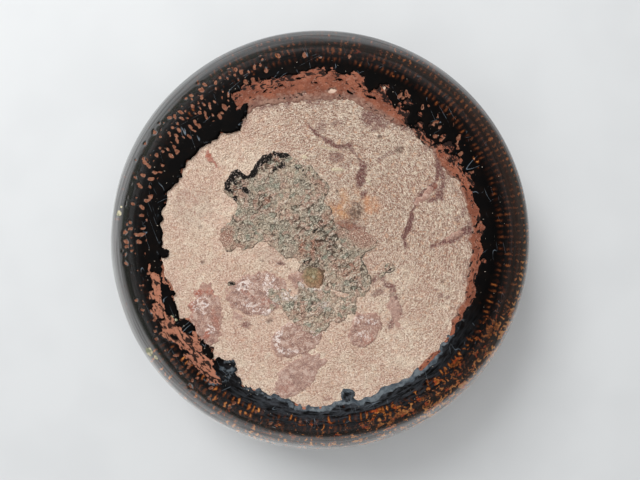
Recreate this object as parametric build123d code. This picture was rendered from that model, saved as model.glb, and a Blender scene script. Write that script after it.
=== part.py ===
from build123d import *
import math
import os

# A round painted bowl, turned from one block of lime wood and then coated: red clay ground on the
# bare wood, and painted lacquer on the ground. The lacquer has three fields: black outside, a band
# over the lip, and gold inside. The flat foot has worn through its coats to the wood.
#
# The bowl lies upside down, on its lip. The origin is at the centre of the lip's plane, +Z points
# up through the foot, and +X and +Y lie in that plane. All sizes are in millimetres.

# The finished bowl, over its coats. Its flank is two arcs that meet at the belly.
bowl_diameter = 200.0  # at the belly, its widest circle
bowl_height = 74.0
belly_height = 32.0  # from the lip to the belly
foot_run = 30.0  # from the belly in to the foot's edge, seen from above
lip_run = 5.5  # from the belly in to the lip's edge, seen from above
foot_rounding = 6.0

# The turned wood
wall_thickness = 7.0
base_thickness = 9.0
lip_rounding = 3.6  # over the coats, on both edges of the lip

# The coats
ground_thickness = 0.7
lacquer_thickness = 0.5
lip_band_height = 6.0  # how far the band reaches up from the lip, outside and inside

# A dead knot beside the middle of the foot, a plug that the wood around it has let go of
knot_centre = (-2.7, -15.1)
knot_diameter = 9.0
knot_depth = 6.0
knot_taper = 9.0  # degrees, narrowing into the wood

# The worn edges on the foot are circles with lobes, each with an angle and a spread in degrees and
# a reach outwards. The wood shows inside the first edge, and the ground as far as the second.
worn_inset = 8.0  # from the foot's edge in to the circle of the worn wood
worn_lobes = [
    (80, 60, -3.2),
    (35, 22, -2.2),
    (131, 9, -2.2),
    (180, 24, 3.9),
    (218, 11, -2.8),
    (246, 14, 3.2),
    (280, 3, -4.0),
    (285, 36, 5.6),
]
ground_strip = 0.8  # least width of bare ground between the wood and the lacquer
ground_lobes = [(5, 28, 4.2), (72, 17, 7.0), (102, 15, 7.5), (226, 10, 5.6)]
foot_land = 1.0  # least width of flat lacquer, which the bowl stands on when it is used
worn_edge_points = 72

# Islands of old coat on the worn wood. The crust is a blistered lump of all the coats, and the
# patches are stained ground: (centre, half length, half width, turn in degrees).
crust_thickness = 0.9
crust_knot_margin = 0.4  # between the crust and the knot
crust_edge = [
    (-30, 28.5),
    (-24, 31),
    (-16, 36),
    (-4, 30.5),
    (3.5, 23),
    (2.5, 13.5),
    (9, 8.5),
    (22, -1),
    (14, -7),
    (20, -14),
    (15, -23),
    (4, -18.5),
    (-6, -10),
    (-14.5, -6),
    (-26, -6),
    (-35, -4.5),
    (-40, 3.5),
    (-33.5, 12),
    (-39, 20),
    (-37, 27),
]
patch_thickness = 0.3
patch_margin = 0.5  # between a patch and the worn edge
patches = [
    ((-46.5, -30), 10.4, 5.5, 85),
    ((-26.5, -23), 10.7, 8, 10),
    ((-9, -40), 11.5, 7.5, 25),
    ((-10, -56.5), 13, 6.5, 40),
    ((18.3, -37), 7.5, 6.3, 60),
    ((29.5, -29), 8.6, 3.2, 100),
    ((44, 18), 8, 2.6, 62),
    ((54.5, 1), 6, 1.8, 24),
]

coat_thickness = ground_thickness + lacquer_thickness
belly_radius = bowl_diameter / 2
wood_foot_z = bowl_height - coat_thickness
wood_floor_z = wood_foot_z - base_thickness
floor_corner_radius = wood_floor_z - belly_height  # a quarter circle, from the belly to the floor
floor_radius = belly_radius - coat_thickness - wall_thickness - floor_corner_radius


def flank_arc(run, end_height):
    """Centre's distance from the axis, and radius, of the arc that runs in from the belly to there."""
    radius = (run**2 + (end_height - belly_height) ** 2) / (2 * run)
    return belly_radius - radius, radius


foot_flank_centre, foot_flank_radius = flank_arc(foot_run, bowl_height)
lip_flank_centre, lip_flank_radius = flank_arc(lip_run, 0)


def reach(centre, radius, height):
    """How far from the axis an arc is at that height, when its centre is level with the belly."""
    return centre + math.sqrt(radius**2 - (height - belly_height) ** 2)


def flank_curve(centre, radius, start_height, end_height):
    """The arc's stretch between two heights."""
    heights = (start_height, (start_height + end_height) / 2, end_height)
    return ThreePointArc(*[(reach(centre, radius, height), height) for height in heights])


def bowl_section(skin):
    """Half of the bowl's section, with its surface that far outside the bare wood all round."""
    inset = coat_thickness - skin
    foot_z = bowl_height - inset
    floor_z = wood_floor_z - skin
    inner_radius = lip_flank_radius - coat_thickness - wall_thickness - skin
    foot_flank = flank_curve(foot_flank_centre, foot_flank_radius - inset, foot_z, belly_height)
    lip_flank = flank_curve(lip_flank_centre, lip_flank_radius - inset, belly_height, inset)
    inner_flank = flank_curve(lip_flank_centre, inner_radius, inset, belly_height)
    floor_corner = RadiusArc(inner_flank @ 1, (floor_radius, floor_z), skin - floor_corner_radius)
    section = Face(
        Wire(
            [
                Line((0, foot_z), foot_flank @ 0),
                foot_flank,
                lip_flank,
                Line(lip_flank @ 1, inner_flank @ 0),
                inner_flank,
                floor_corner,
                Line(floor_corner @ 1, (0, floor_z)),
                Line((0, floor_z), (0, foot_z)),
            ]
        )
    )
    for corner, radius in (
        (foot_flank @ 0, foot_rounding - inset),
        (lip_flank @ 1, lip_rounding - inset),
        (inner_flank @ 0, lip_rounding - inset),
    ):
        section = section.fillet_2d(radius, [section.vertices().sort_by_distance(corner)[0]])
    return section


def coat(inner_skin, outer_skin):
    """A coat over the whole bowl, between two distances from the bare wood."""
    return turned(bowl_section(outer_skin) - bowl_section(inner_skin))


def turned(section):
    """The solid that a section makes when it is turned about the bowl's axis."""
    return revolve(Plane.XZ * section, Axis.Z)


def lobed_radius(radius, lobes, angle):
    """A circle's radius at that angle, with its lobes added."""
    for lobe_angle, spread, lobe_reach in lobes:
        away = (angle - lobe_angle + 180) % 360 - 180
        radius += lobe_reach * math.exp(-((away / spread) ** 2))
    return radius


def lacquer_edge_limit():
    """The largest circle that leaves the foot's land inside the foot's rounding."""
    rounding_z = bowl_height - foot_rounding
    return reach(foot_flank_centre, foot_flank_radius - foot_rounding, rounding_z) - foot_land


def worn_wood_edge(angle):
    worn_radius = belly_radius - foot_run - worn_inset
    return min(lobed_radius(worn_radius, worn_lobes, angle), lacquer_edge_limit() - ground_strip)


def lacquer_edge(angle):
    strip = lobed_radius(ground_strip, ground_lobes, angle)
    return min(worn_wood_edge(angle) + strip, lacquer_edge_limit())


def patch_limit(angle):
    return worn_wood_edge(angle) - patch_margin


def foot_prism(outline):
    """A prism through the coats of the foot, from the middle of the wood's base to above the foot."""
    face = Pos(0, 0, wood_foot_z - base_thickness / 2) * Face(Wire([outline]))
    return extrude(face, base_thickness, dir=(0, 0, 1))


def worn_prism(edge_radius):
    """A prism through the foot whose outline is edge_radius at each angle."""
    points = []
    for step in range(worn_edge_points):
        angle = 360 * step / worn_edge_points
        turn = math.radians(angle)
        points.append((edge_radius(angle) * math.cos(turn), edge_radius(angle) * math.sin(turn)))
    return foot_prism(Spline(points, periodic=True))


def make_knot():
    tip_diameter = knot_diameter - 2 * knot_depth * math.tan(math.radians(knot_taper))
    align = (Align.CENTER, Align.CENTER, Align.MAX)
    return Pos(*knot_centre, wood_foot_z) * Cone(tip_diameter / 2, knot_diameter / 2, knot_depth, align=align)


def make_turned_body(knot):
    return turned(bowl_section(0)) - knot


def make_ground_coat():
    return coat(0, ground_thickness) - worn_prism(worn_wood_edge)


def make_lacquers():
    """The lacquer's outer field, lip band and inner field, cut apart level with the band's top."""
    film = coat(ground_thickness, coat_thickness)
    below_band = Cylinder(bowl_diameter, lip_band_height, align=(Align.CENTER, Align.CENTER, Align.MIN))
    inner, outer = (film - below_band).solids().sort_by(lambda field: field.bounding_box().size.X)
    return outer - worn_prism(lacquer_edge), film & below_band, inner


def make_crust():
    """The crust, which lies on the wood and leaves the knot bare."""
    clearing = Pos(*knot_centre, wood_foot_z) * Cylinder(knot_diameter / 2 + crust_knot_margin, base_thickness)
    return (coat(0, crust_thickness) & foot_prism(Spline(crust_edge, periodic=True))) - clearing


def make_patches(crust):
    """Thin islands of ground, short of the worn edge and of the crust that lies over some of them."""
    ground = (coat(0, patch_thickness) & worn_prism(patch_limit)) - crust
    islands = []
    for centre, half_length, half_width, turn in patches:
        outline = Pos(*centre) * Rot(0, 0, turn) * Ellipse(half_length, half_width).edge()
        islands.extend((ground & foot_prism(outline)).solids())
    return Compound(children=islands)


def main():
    os.makedirs("parts", exist_ok=True)
    knot = make_knot()
    outer_lacquer, lip_band, inner_lacquer = make_lacquers()
    crust = make_crust()
    nodes = {
        "turned_body": make_turned_body(knot),
        "base_knot": knot,
        "ground_coat": make_ground_coat(),
        "outer_lacquer": outer_lacquer,
        "lip_band": lip_band,
        "inner_lacquer": inner_lacquer,
        "base_crust": crust,
        "ground_patches": make_patches(crust),
    }
    for name, shape in nodes.items():
        export_step(shape, f"parts/{name}.step")


main()
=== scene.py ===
import itertools
import math

import bpy
import numpy as np
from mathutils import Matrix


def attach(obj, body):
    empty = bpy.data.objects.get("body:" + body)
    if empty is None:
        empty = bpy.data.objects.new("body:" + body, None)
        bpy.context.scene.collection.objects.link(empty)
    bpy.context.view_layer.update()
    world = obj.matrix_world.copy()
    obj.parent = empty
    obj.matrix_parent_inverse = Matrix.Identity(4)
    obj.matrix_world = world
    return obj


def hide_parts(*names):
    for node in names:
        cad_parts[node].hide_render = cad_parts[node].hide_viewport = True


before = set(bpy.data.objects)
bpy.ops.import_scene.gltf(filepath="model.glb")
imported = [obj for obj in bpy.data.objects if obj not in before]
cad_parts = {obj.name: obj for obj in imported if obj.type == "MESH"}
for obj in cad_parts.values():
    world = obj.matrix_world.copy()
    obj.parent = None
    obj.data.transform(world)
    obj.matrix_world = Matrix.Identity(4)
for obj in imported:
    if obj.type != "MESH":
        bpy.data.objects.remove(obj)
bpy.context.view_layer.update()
print("frame loaded:", ", ".join(sorted(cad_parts)))

# The bowl stands on its lip with the foot up, its axis on the vertical through the origin.
# Sizes are in mm here and become metres when a mesh is written. Centres are (out, up) in the section.
# Every noise takes its seed first, and no two of them share one.
bowl = {
    "height": 74.0,
    "footRounding": (68.96, 68.0), "footRoundingRadius": 6.0,
    "flank": (55.6, 32.0), "flankRadius": 44.4,
    "lipFlank": (4.16, 32.0), "lipFlankRadius": 95.84,
    "lipOuter": (91.92, 3.6), "lipInner": (89.60, 3.6), "lipRadius": 3.6,
    "innerFlankRadius": 86.44,
    "floorCorner": (60.0, 32.0), "floorCornerRadius": 30.6,
    "groundDepth": 0.5, "woodDepth": 1.2,       # below the lacquer's own surface
    "bandHeight": 6.0,                          # the lip band ends here, inside and out
}


def latticeNumber(seed, *cells):
    # a steady number from 0 to 1 for each whole-numbered lattice point, from multiplied and folded bits
    total = np.full(np.shape(cells[0]), seed * 7919 + 1013, np.int64)
    for cell, prime in zip(cells, (73856093, 19349663, 83492791)):
        total = (total ^ (cell * prime)) & 0xFFFFFFFF
        total = ((total ^ (total >> 15)) * 739982445) & 0xFFFFFFFF
    total = ((total ^ (total >> 13)) * 695872825) & 0xFFFFFFFF
    return (total ^ (total >> 16)) / 4294967295.0


def smoothNoise(seed, *coords):
    # from -1 to 1: the lattice numbers at the corners round each point, blended with an S-curve
    low = [np.floor(c).astype(np.int64) for c in coords]
    part = [c - l for c, l in zip(coords, low)]
    part = [p * p * (3 - 2 * p) for p in part]
    total = 0.0
    for corner in itertools.product((0, 1), repeat=len(coords)):
        weight = 1.0
        for bit, p in zip(corner, part):
            weight = weight * (p if bit else 1 - p)
        total = total + weight * latticeNumber(seed, *[l + bit for bit, l in zip(corner, low)])
    return 2 * total - 1


def fractal(seed, octaves, *coords):
    # several smooth noises added up, each twice as fine and half as strong as the one before
    total, strength = 0.0, 0.0
    for k in range(octaves):
        total = total + smoothNoise(seed + k, *[c * 2.0 ** k + 11.7 * k for c in coords]) * 0.5 ** k
        strength += 0.5 ** k
    return total / strength


def cellNoise(seed, x, y, jitter=0.85):
    # points lie scattered, one to a cell of size 1: the distances to the nearest and to the second nearest
    # of them, and a number from 0 to 1 of the nearest one's own
    ix, iy = np.floor(x).astype(np.int64), np.floor(y).astype(np.int64)
    first = np.full(np.shape(x), 9.0)
    second = first.copy()
    owner = np.zeros(np.shape(x))
    for dx, dy in itertools.product((-1, 0, 1), repeat=2):
        cx, cy = ix + dx, iy + dy
        away = np.hypot(cx + 0.5 + jitter * (latticeNumber(seed, cx, cy) - 0.5) - x,
                        cy + 0.5 + jitter * (latticeNumber(seed + 1, cx, cy) - 0.5) - y)
        nearer = away < first
        second = np.where(nearer, first, np.minimum(second, away))
        owner = np.where(nearer, latticeNumber(seed + 2, cx, cy), owner)
        first = np.where(nearer, away, first)
    return first, second, owner


def smoothStep(low, high, value):
    # 0 below low, 1 above high, an S-curve between; low may be the larger, and then it falls
    t = np.clip((value - low) / (high - low), 0, 1)
    return t * t * (3 - 2 * t)


def roundTable(table, degrees):
    # a value for each angle, straight between the table's angles and joined past 360
    angles, values = np.array(table, float).T
    return np.interp(degrees, angles, values, period=360)


def fullTurn(segments):
    # angles once round the axis, as a row
    return np.linspace(0, 2 * math.pi, segments, endpoint=False)[None, :]


def ovalAxes(x, y, cx, cy, halfLength, halfWidth, turn):
    # the two distances from an oval's centre, along it and across it, in its half sizes
    c, s = math.cos(math.radians(turn)), math.sin(math.radians(turn))
    return ((x - cx) * c + (y - cy) * s) / halfLength, ((y - cy) * c - (x - cx) * s) / halfWidth


def spots(x, y, ovals, soft=0.35, ragged=0.0, seed=0, grain=1.6):
    # the strongest of several soft-edged ovals: centre, half length, half width, turn in degrees, strength
    wobble = ragged * fractal(seed, 3, x / grain, y / grain)
    total = np.zeros(np.shape(x))
    for *oval, strength in ovals:
        reach = np.hypot(*ovalAxes(x, y, *oval))
        total = np.maximum(total, strength * smoothStep(0, soft, 1 - reach + wobble))
    return total


def ovalDistance(x, y, ovals):
    # mm inside the nearest of several ovals, and which one it is
    best, owner = np.full(np.shape(x), -9.0), np.zeros(np.shape(x), int)
    for number, oval in enumerate(ovals):
        inside = (1 - np.hypot(*ovalAxes(x, y, *oval[:5]))) * min(oval[2:4])
        owner = np.where(inside > best, number, owner)
        best = np.maximum(best, inside)
    return best, owner


def lineDistance(x, y, points):
    # distance from each point to a line through the given points
    nearest = np.full(np.shape(x), 1e3)
    for (x0, y0), (x1, y1) in zip(points[:-1], points[1:]):
        dx, dy = x1 - x0, y1 - y0
        t = np.clip(((x - x0) * dx + (y - y0) * dy) / (dx * dx + dy * dy), 0, 1)
        nearest = np.minimum(nearest, np.hypot(x - x0 - t * dx, y - y0 - t * dy))
    return nearest


def insideDistance(x, y, outline):
    # how far each point lies inside a closed outline, in mm; less than 0 outside it
    inside = np.zeros(np.shape(x), bool)
    for (x0, y0), (x1, y1) in zip(outline, outline[1:] + outline[:1]):
        if y0 != y1:
            inside ^= ((y0 <= y) != (y1 <= y)) & (x < x0 + (y - y0) * (x1 - x0) / (y1 - y0))
    away = lineDistance(x, y, outline + outline[:1])
    return np.where(inside, away, -away)


def roundedOutline(points, steps=6):
    # a closed curve through the points: each stretch leans on the two points before and after it
    p = np.array(points, float)
    t = np.arange(steps)[:, None, None] / steps
    before, start, end, after = np.roll(p, 1, 0), p, np.roll(p, -1, 0), np.roll(p, -2, 0)
    curve = 0.5 * (2 * start + (end - before) * t + (2 * before - 5 * start + 4 * end - after) * t ** 2
                   + (3 * start - before - 3 * end + after) * t ** 3)
    return [tuple(q) for q in curve.transpose(1, 0, 2).reshape(-1, 2)]


def bowlProfile(step=0.2):
    # the finished section from the foot's centre over the flank and lip to the inside floor's centre:
    # rows of out, up and the direction that faces away from the wall
    def level(x0, x1, up, facing):
        # a straight stretch at one height
        x = np.arange(x0, x1, math.copysign(step, x1 - x0))
        return np.stack([x, np.full_like(x, up), np.zeros_like(x), np.full_like(x, facing)], 1)

    def arc(centre, radius, start, end, facing=1):
        # a stretch round a centre, from one direction to another in degrees
        count = max(2, int(abs(math.radians(end - start)) * radius / step))
        turn = np.radians(np.linspace(start, end, count))[:-1]
        c, s = np.cos(turn), np.sin(turn)
        return np.stack([centre[0] + radius * c, centre[1] + radius * s, facing * c, facing * s], 1)

    def heading(start, end):
        # the direction from one point to another, in degrees
        return math.degrees(math.atan2(end[1] - start[1], end[0] - start[0]))

    b = bowl
    footTurn = heading(b["flank"], b["footRounding"])
    lipTurn = heading(b["lipFlank"], b["lipOuter"])
    innerTurn = heading(b["lipFlank"], b["lipInner"])
    floorUp = b["floorCorner"][1] + b["floorCornerRadius"]
    rows = np.concatenate([
        level(0, b["footRounding"][0], b["height"], 1),
        arc(b["footRounding"], b["footRoundingRadius"], 90, footTurn),
        arc(b["flank"], b["flankRadius"], footTurn, 0),
        arc(b["lipFlank"], b["lipFlankRadius"], 0, lipTurn),
        arc(b["lipOuter"], b["lipRadius"], lipTurn, -90),
        level(b["lipOuter"][0], b["lipInner"][0], 0, -1),
        arc(b["lipInner"], b["lipRadius"], -90, innerTurn - 180),
        arc(b["lipFlank"], b["innerFlankRadius"], innerTurn, 0, -1),
        arc(b["floorCorner"], b["floorCornerRadius"], 0, 90, -1),
        level(b["floorCorner"][0], 0, floorUp, -1),
        [[0, floorUp, 0, -1]],
    ])
    run = np.concatenate([[0], np.cumsum(np.hypot(*np.diff(rows[:, :2], axis=0).T))])
    return run, rows


profileRun, profileRows = bowlProfile()
profileUp = profileRows[:, 1]
wholeRun = profileRun[-1]
innerEnd = wholeRun - 0.5                       # the coats inside stop this near the axis, and close there
lipRun = profileRun[np.argmin(profileUp)]
outside = profileRun < lipRun
outerBandRun = np.interp(-bowl["bandHeight"], -profileUp[outside], profileRun[outside])
innerBandRun = np.interp(bowl["bandHeight"], profileUp[~outside], profileRun[~outside])


def onBowl(run, angle, depth):
    # a point so far along the section, at that angle round the axis, so deep below the finished surface
    out, up, facingOut, facingUp = [np.interp(run, profileRun, column) for column in profileRows.T]
    out, up = out - facingOut * depth, up - facingUp * depth
    return np.stack(np.broadcast_arrays(out * np.cos(angle), out * np.sin(angle), up), -1)


def writeMesh(name, points, faces, values, finish, node, wrap=None):
    # points in mm, one value of each attribute to a point, and the piece takes its CAD node's place
    mesh = bpy.data.meshes.new(name)
    mesh.from_pydata((points * 0.001).tolist(), [], faces)
    for key, value in values.items():
        mesh.attributes.new(key, "FLOAT", "POINT").data.foreach_set("value", value.astype(np.float32))
    if wrap is not None:
        mesh.uv_layers.new(name="wrap").data.foreach_set("uv", wrap.astype(np.float32).ravel())
    mesh.polygons.foreach_set("use_smooth", np.ones(len(mesh.polygons), bool))
    mesh.update()
    mesh.materials.append(finish)
    piece = bpy.data.objects.new(name, mesh)
    bpy.context.scene.collection.objects.link(piece)
    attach(piece, "root")
    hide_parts(node)
    print(f"{name}: {sum(len(f) - 2 for f in faces)} triangles")


def turnedPiece(name, rings, values, finish, node, run=None, atAxis=True):
    # rings[i, j]: i runs along the section and j round the axis. Each ring joins the next, and the two ends
    # close at the axis with a point each, or join each other where the section is a loop. With run given,
    # the wrap map holds the share of a turn and the distance along the section
    count, segments = rings.shape[:2]
    i = np.arange(count - 1 if atAxis else count)[:, None]
    j = np.arange(segments)[None, :]
    after, nextJ = (i + 1) % count, (j + 1) % segments
    faces = np.stack(np.broadcast_arrays(i * segments + j, after * segments + j, after * segments + nextJ,
                                         i * segments + nextJ), -1).reshape(-1, 4).tolist()
    points = rings.reshape(-1, 3)
    flat = {key: np.broadcast_to(value, (count, segments)).ravel() for key, value in values.items()}
    wrap = None
    if run is not None:
        turn = np.stack(np.broadcast_arrays(j, j, j + 1, j + 1, i)[:4], -1) / segments
        runs = np.broadcast_to(run, (count, segments))
        rows = np.stack([runs[i, j], runs[after, j], runs[after, nextJ], runs[i, nextJ]], -1)
        wrap = np.stack([turn, rows], -1).reshape(-1, 2)
    if atAxis:
        near, far, j = count * segments, count * segments + 1, j.ravel()
        last = (count - 1) * segments
        faces += np.stack([np.full_like(j, near), j, nextJ.ravel()], 1).tolist()
        faces += np.stack([np.full_like(j, far), last + nextJ.ravel(), last + j], 1).tolist()
        if wrap is not None:
            ends = np.repeat([runs[0, 0], runs[-1, 0]], segments * 3)
            wrap = np.concatenate([wrap, np.stack([np.tile(np.repeat(j / segments, 3), 2), ends], 1)])
        points = np.concatenate([points, [rings[0].mean(0), rings[-1].mean(0)]])
        flat = {key: np.concatenate([value, [value[:segments].mean(), value[-segments:].mean()]])
                for key, value in flat.items()}
    writeMesh(name, points, faces, flat, finish, node, wrap)


def filmPiece(name, x, y, top, bottom, keep, values, finish, node):
    # a sheet over the grid's cells whose corners are all kept, a second one under it at a level bottom,
    # and a wall round the border
    cells = keep[:-1, :-1] & keep[1:, :-1] & keep[:-1, 1:] & keep[1:, 1:]
    number = np.arange(x.size).reshape(x.shape)
    corners = np.stack([number[:-1, :-1], number[:-1, 1:], number[1:, 1:], number[1:, :-1]], -1)
    framed = np.pad(cells, 1)
    beyond = [framed[:-2, 1:-1], framed[1:-1, 2:], framed[2:, 1:-1], framed[1:-1, :-2]]
    used, upper = np.unique(corners[cells], return_inverse=True)
    upper = upper.reshape(-1, 4)
    place = np.full(x.size, -1)
    place[used] = np.arange(len(used))
    walls = []
    for k, neighbour in enumerate(beyond):
        edge = cells & ~neighbour
        p, q = place[corners[edge][:, k]], place[corners[edge][:, (k + 1) % 4]]
        walls.append(np.stack([p + len(used), q + len(used), q, p], 1))
    faces = np.concatenate([upper, upper[:, ::-1] + len(used), *walls]).tolist()
    flatX, flatY, flatTop = x.ravel()[used], y.ravel()[used], top.ravel()[used]
    points = np.concatenate([np.stack([flatX, flatY, flatTop], 1),
                             np.stack([flatX, flatY, np.full_like(flatTop, bottom)], 1)])
    flat = {key: np.tile(value.ravel()[used], 2) for key, value in values.items()}
    writeMesh(name, points, faces, flat, finish, node)


def coatRuns(start, end, stretches, underRings):
    # distances along the section of a coat's outer sheet, from its worn edge to its far end in stretches of
    # (length, spacing), and of the sheet under it on the way back, both stretched to fit at each angle
    outward = [0.0]
    for length, spacing in stretches:
        count = max(1, round(length / spacing))
        outward += [outward[-1] + length * (k + 1) / count for k in range(count)]
    share = np.array(outward)[:, None] / outward[-1]
    back = np.linspace(0, 1, underRings)[::-1, None]
    return start + share * (end - start), start + back * (end - start)


def bothSheets(under, run, values):
    # each attribute over the hidden sheet, where it is 0, and then over the outer one
    return {key: np.concatenate([np.zeros(under.shape), np.broadcast_to(value, run.shape)])
            for key, value in values.items()}


def colour(red, green, blue):
    # a colour as a screen shows it, 0 to 255, turned into the shader's own scale
    shares = [c / 255 for c in (red, green, blue)]
    return tuple(((c + 0.055) / 1.055) ** 2.4 if c > 0.04045 else c / 12.92 for c in shares) + (1.0,)


class Wire:
    # one socket of a finish, which takes part in sums: each operator adds its Math node
    def __init__(self, finish, socket):
        self.finish, self.socket = finish, socket

    def __add__(self, other):
        return self.finish.maths("ADD", self, other)

    def __radd__(self, other):
        return self.finish.maths("ADD", other, self)

    def __sub__(self, other):
        return self.finish.maths("SUBTRACT", self, other)

    def __rsub__(self, other):
        return self.finish.maths("SUBTRACT", other, self)

    def __mul__(self, other):
        return self.finish.maths("MULTIPLY", self, other)

    def __rmul__(self, other):
        return self.finish.maths("MULTIPLY", other, self)

    def __truediv__(self, other):
        return self.finish.maths("DIVIDE", self, other)

    def __pow__(self, other):
        return self.finish.maths("POWER", self, other)

    def __abs__(self):
        return self.finish.maths("ABSOLUTE", self)


class Finish:
    # one material, or the world; every node of it comes from add()
    def __init__(self, name, kind="materials"):
        self.block = getattr(bpy.data, kind).new(name)
        self.block.use_nodes = True
        self.tree = self.block.node_tree
        self.tree.nodes.clear()

    def add(self, kind, settings, sockets, output=0):
        # a node with its settings, then its sockets' values or wires; gives back one of its outputs
        node = self.tree.nodes.new("ShaderNode" + kind)
        for key, value in settings.items():
            if key == "stops":
                stops = node.color_ramp.elements
                while len(stops) < len(value):
                    stops.new(0.5)
                for stop, (position, shade) in zip(stops, value):
                    stop.position, stop.color = position, shade
            else:
                setattr(node, key, value)
        for key, value in sockets.items():
            if isinstance(value, Wire):
                self.tree.links.new(value.socket, node.inputs[key])
            else:
                node.inputs[key].default_value = value
        return Wire(self, node.outputs[output]) if len(node.outputs) else None

    def maths(self, operation, *parts):
        # a Math node of one, two or three parts
        return self.add("Math", {"operation": operation}, dict(enumerate(parts)))

    def millimetres(self, shift=(0, 0, 0)):
        # Object coordinates in mm, moved by a shift so that two noises of one size differ
        place = self.add("TexCoord", {}, {}, "Object")
        sockets = {0: place, 1: (1000, 1000, 1000), 2: shift}
        return self.add("VectorMath", {"operation": "MULTIPLY_ADD"}, sockets)

    def wrapped(self):
        # the share of a turn round the axis and the mm along the section
        turns, run, _ = self.split(self.add("UVMap", {"uv_map": "wrap"}, {}))
        return turns, run

    def split(self, vector):
        # the three parts of a vector or a colour
        wire = self.add("SeparateXYZ", {}, {0: vector})
        return [Wire(self, output) for output in wire.socket.node.outputs]

    def join(self, x, y, z):
        # one vector from three parts
        return self.add("CombineXYZ", {}, {0: x, 1: y, 2: z})

    def value(self, name):
        # one of the mesh's own attributes
        return self.add("Attribute", {"attribute_name": name}, {}, "Fac")

    def noise(self, place, size, detail=2.0, roughness=0.5, distortion=0.0):
        # clouds of about that size, in the place's own units
        return self.add("TexNoise", {}, {"Vector": place, "Scale": 1 / size, "Detail": detail,
                                         "Roughness": roughness, "Distortion": distortion}, "Fac")

    def step(self, low, high, wire):
        # 0 at low, 1 at high, an S-curve between; low may be the larger
        return self.add("MapRange", {"interpolation_type": "SMOOTHSTEP"},
                        {"Value": wire, "From Min": low, "From Max": high})

    def blend(self, mask, under, over):
        # the first colour where the mask is 0, the second where it is 1
        return self.add("Mix", {"data_type": "RGBA"}, {0: mask, 6: under, 7: over}, 2)

    def layers(self, shade, *coats):
        # each coat is a mask and the colour that it lays over what is there so far
        for mask, over in coats:
            shade = self.blend(mask, shade, over)
        return shade

    def bump(self, height, distance, strength):
        # the distance is in mm
        return self.add("Bump", {}, {"Height": height, "Distance": distance * 0.001, "Strength": strength})

    def done(self, **sockets):
        # sockets by the shader's own names, with _ for a space
        shader = self.add("BsdfPrincipled", {}, {key.replace("_", " "): v for key, v in sockets.items()})
        self.add("OutputMaterial", {}, {"Surface": shader})
        return self.block


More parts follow.
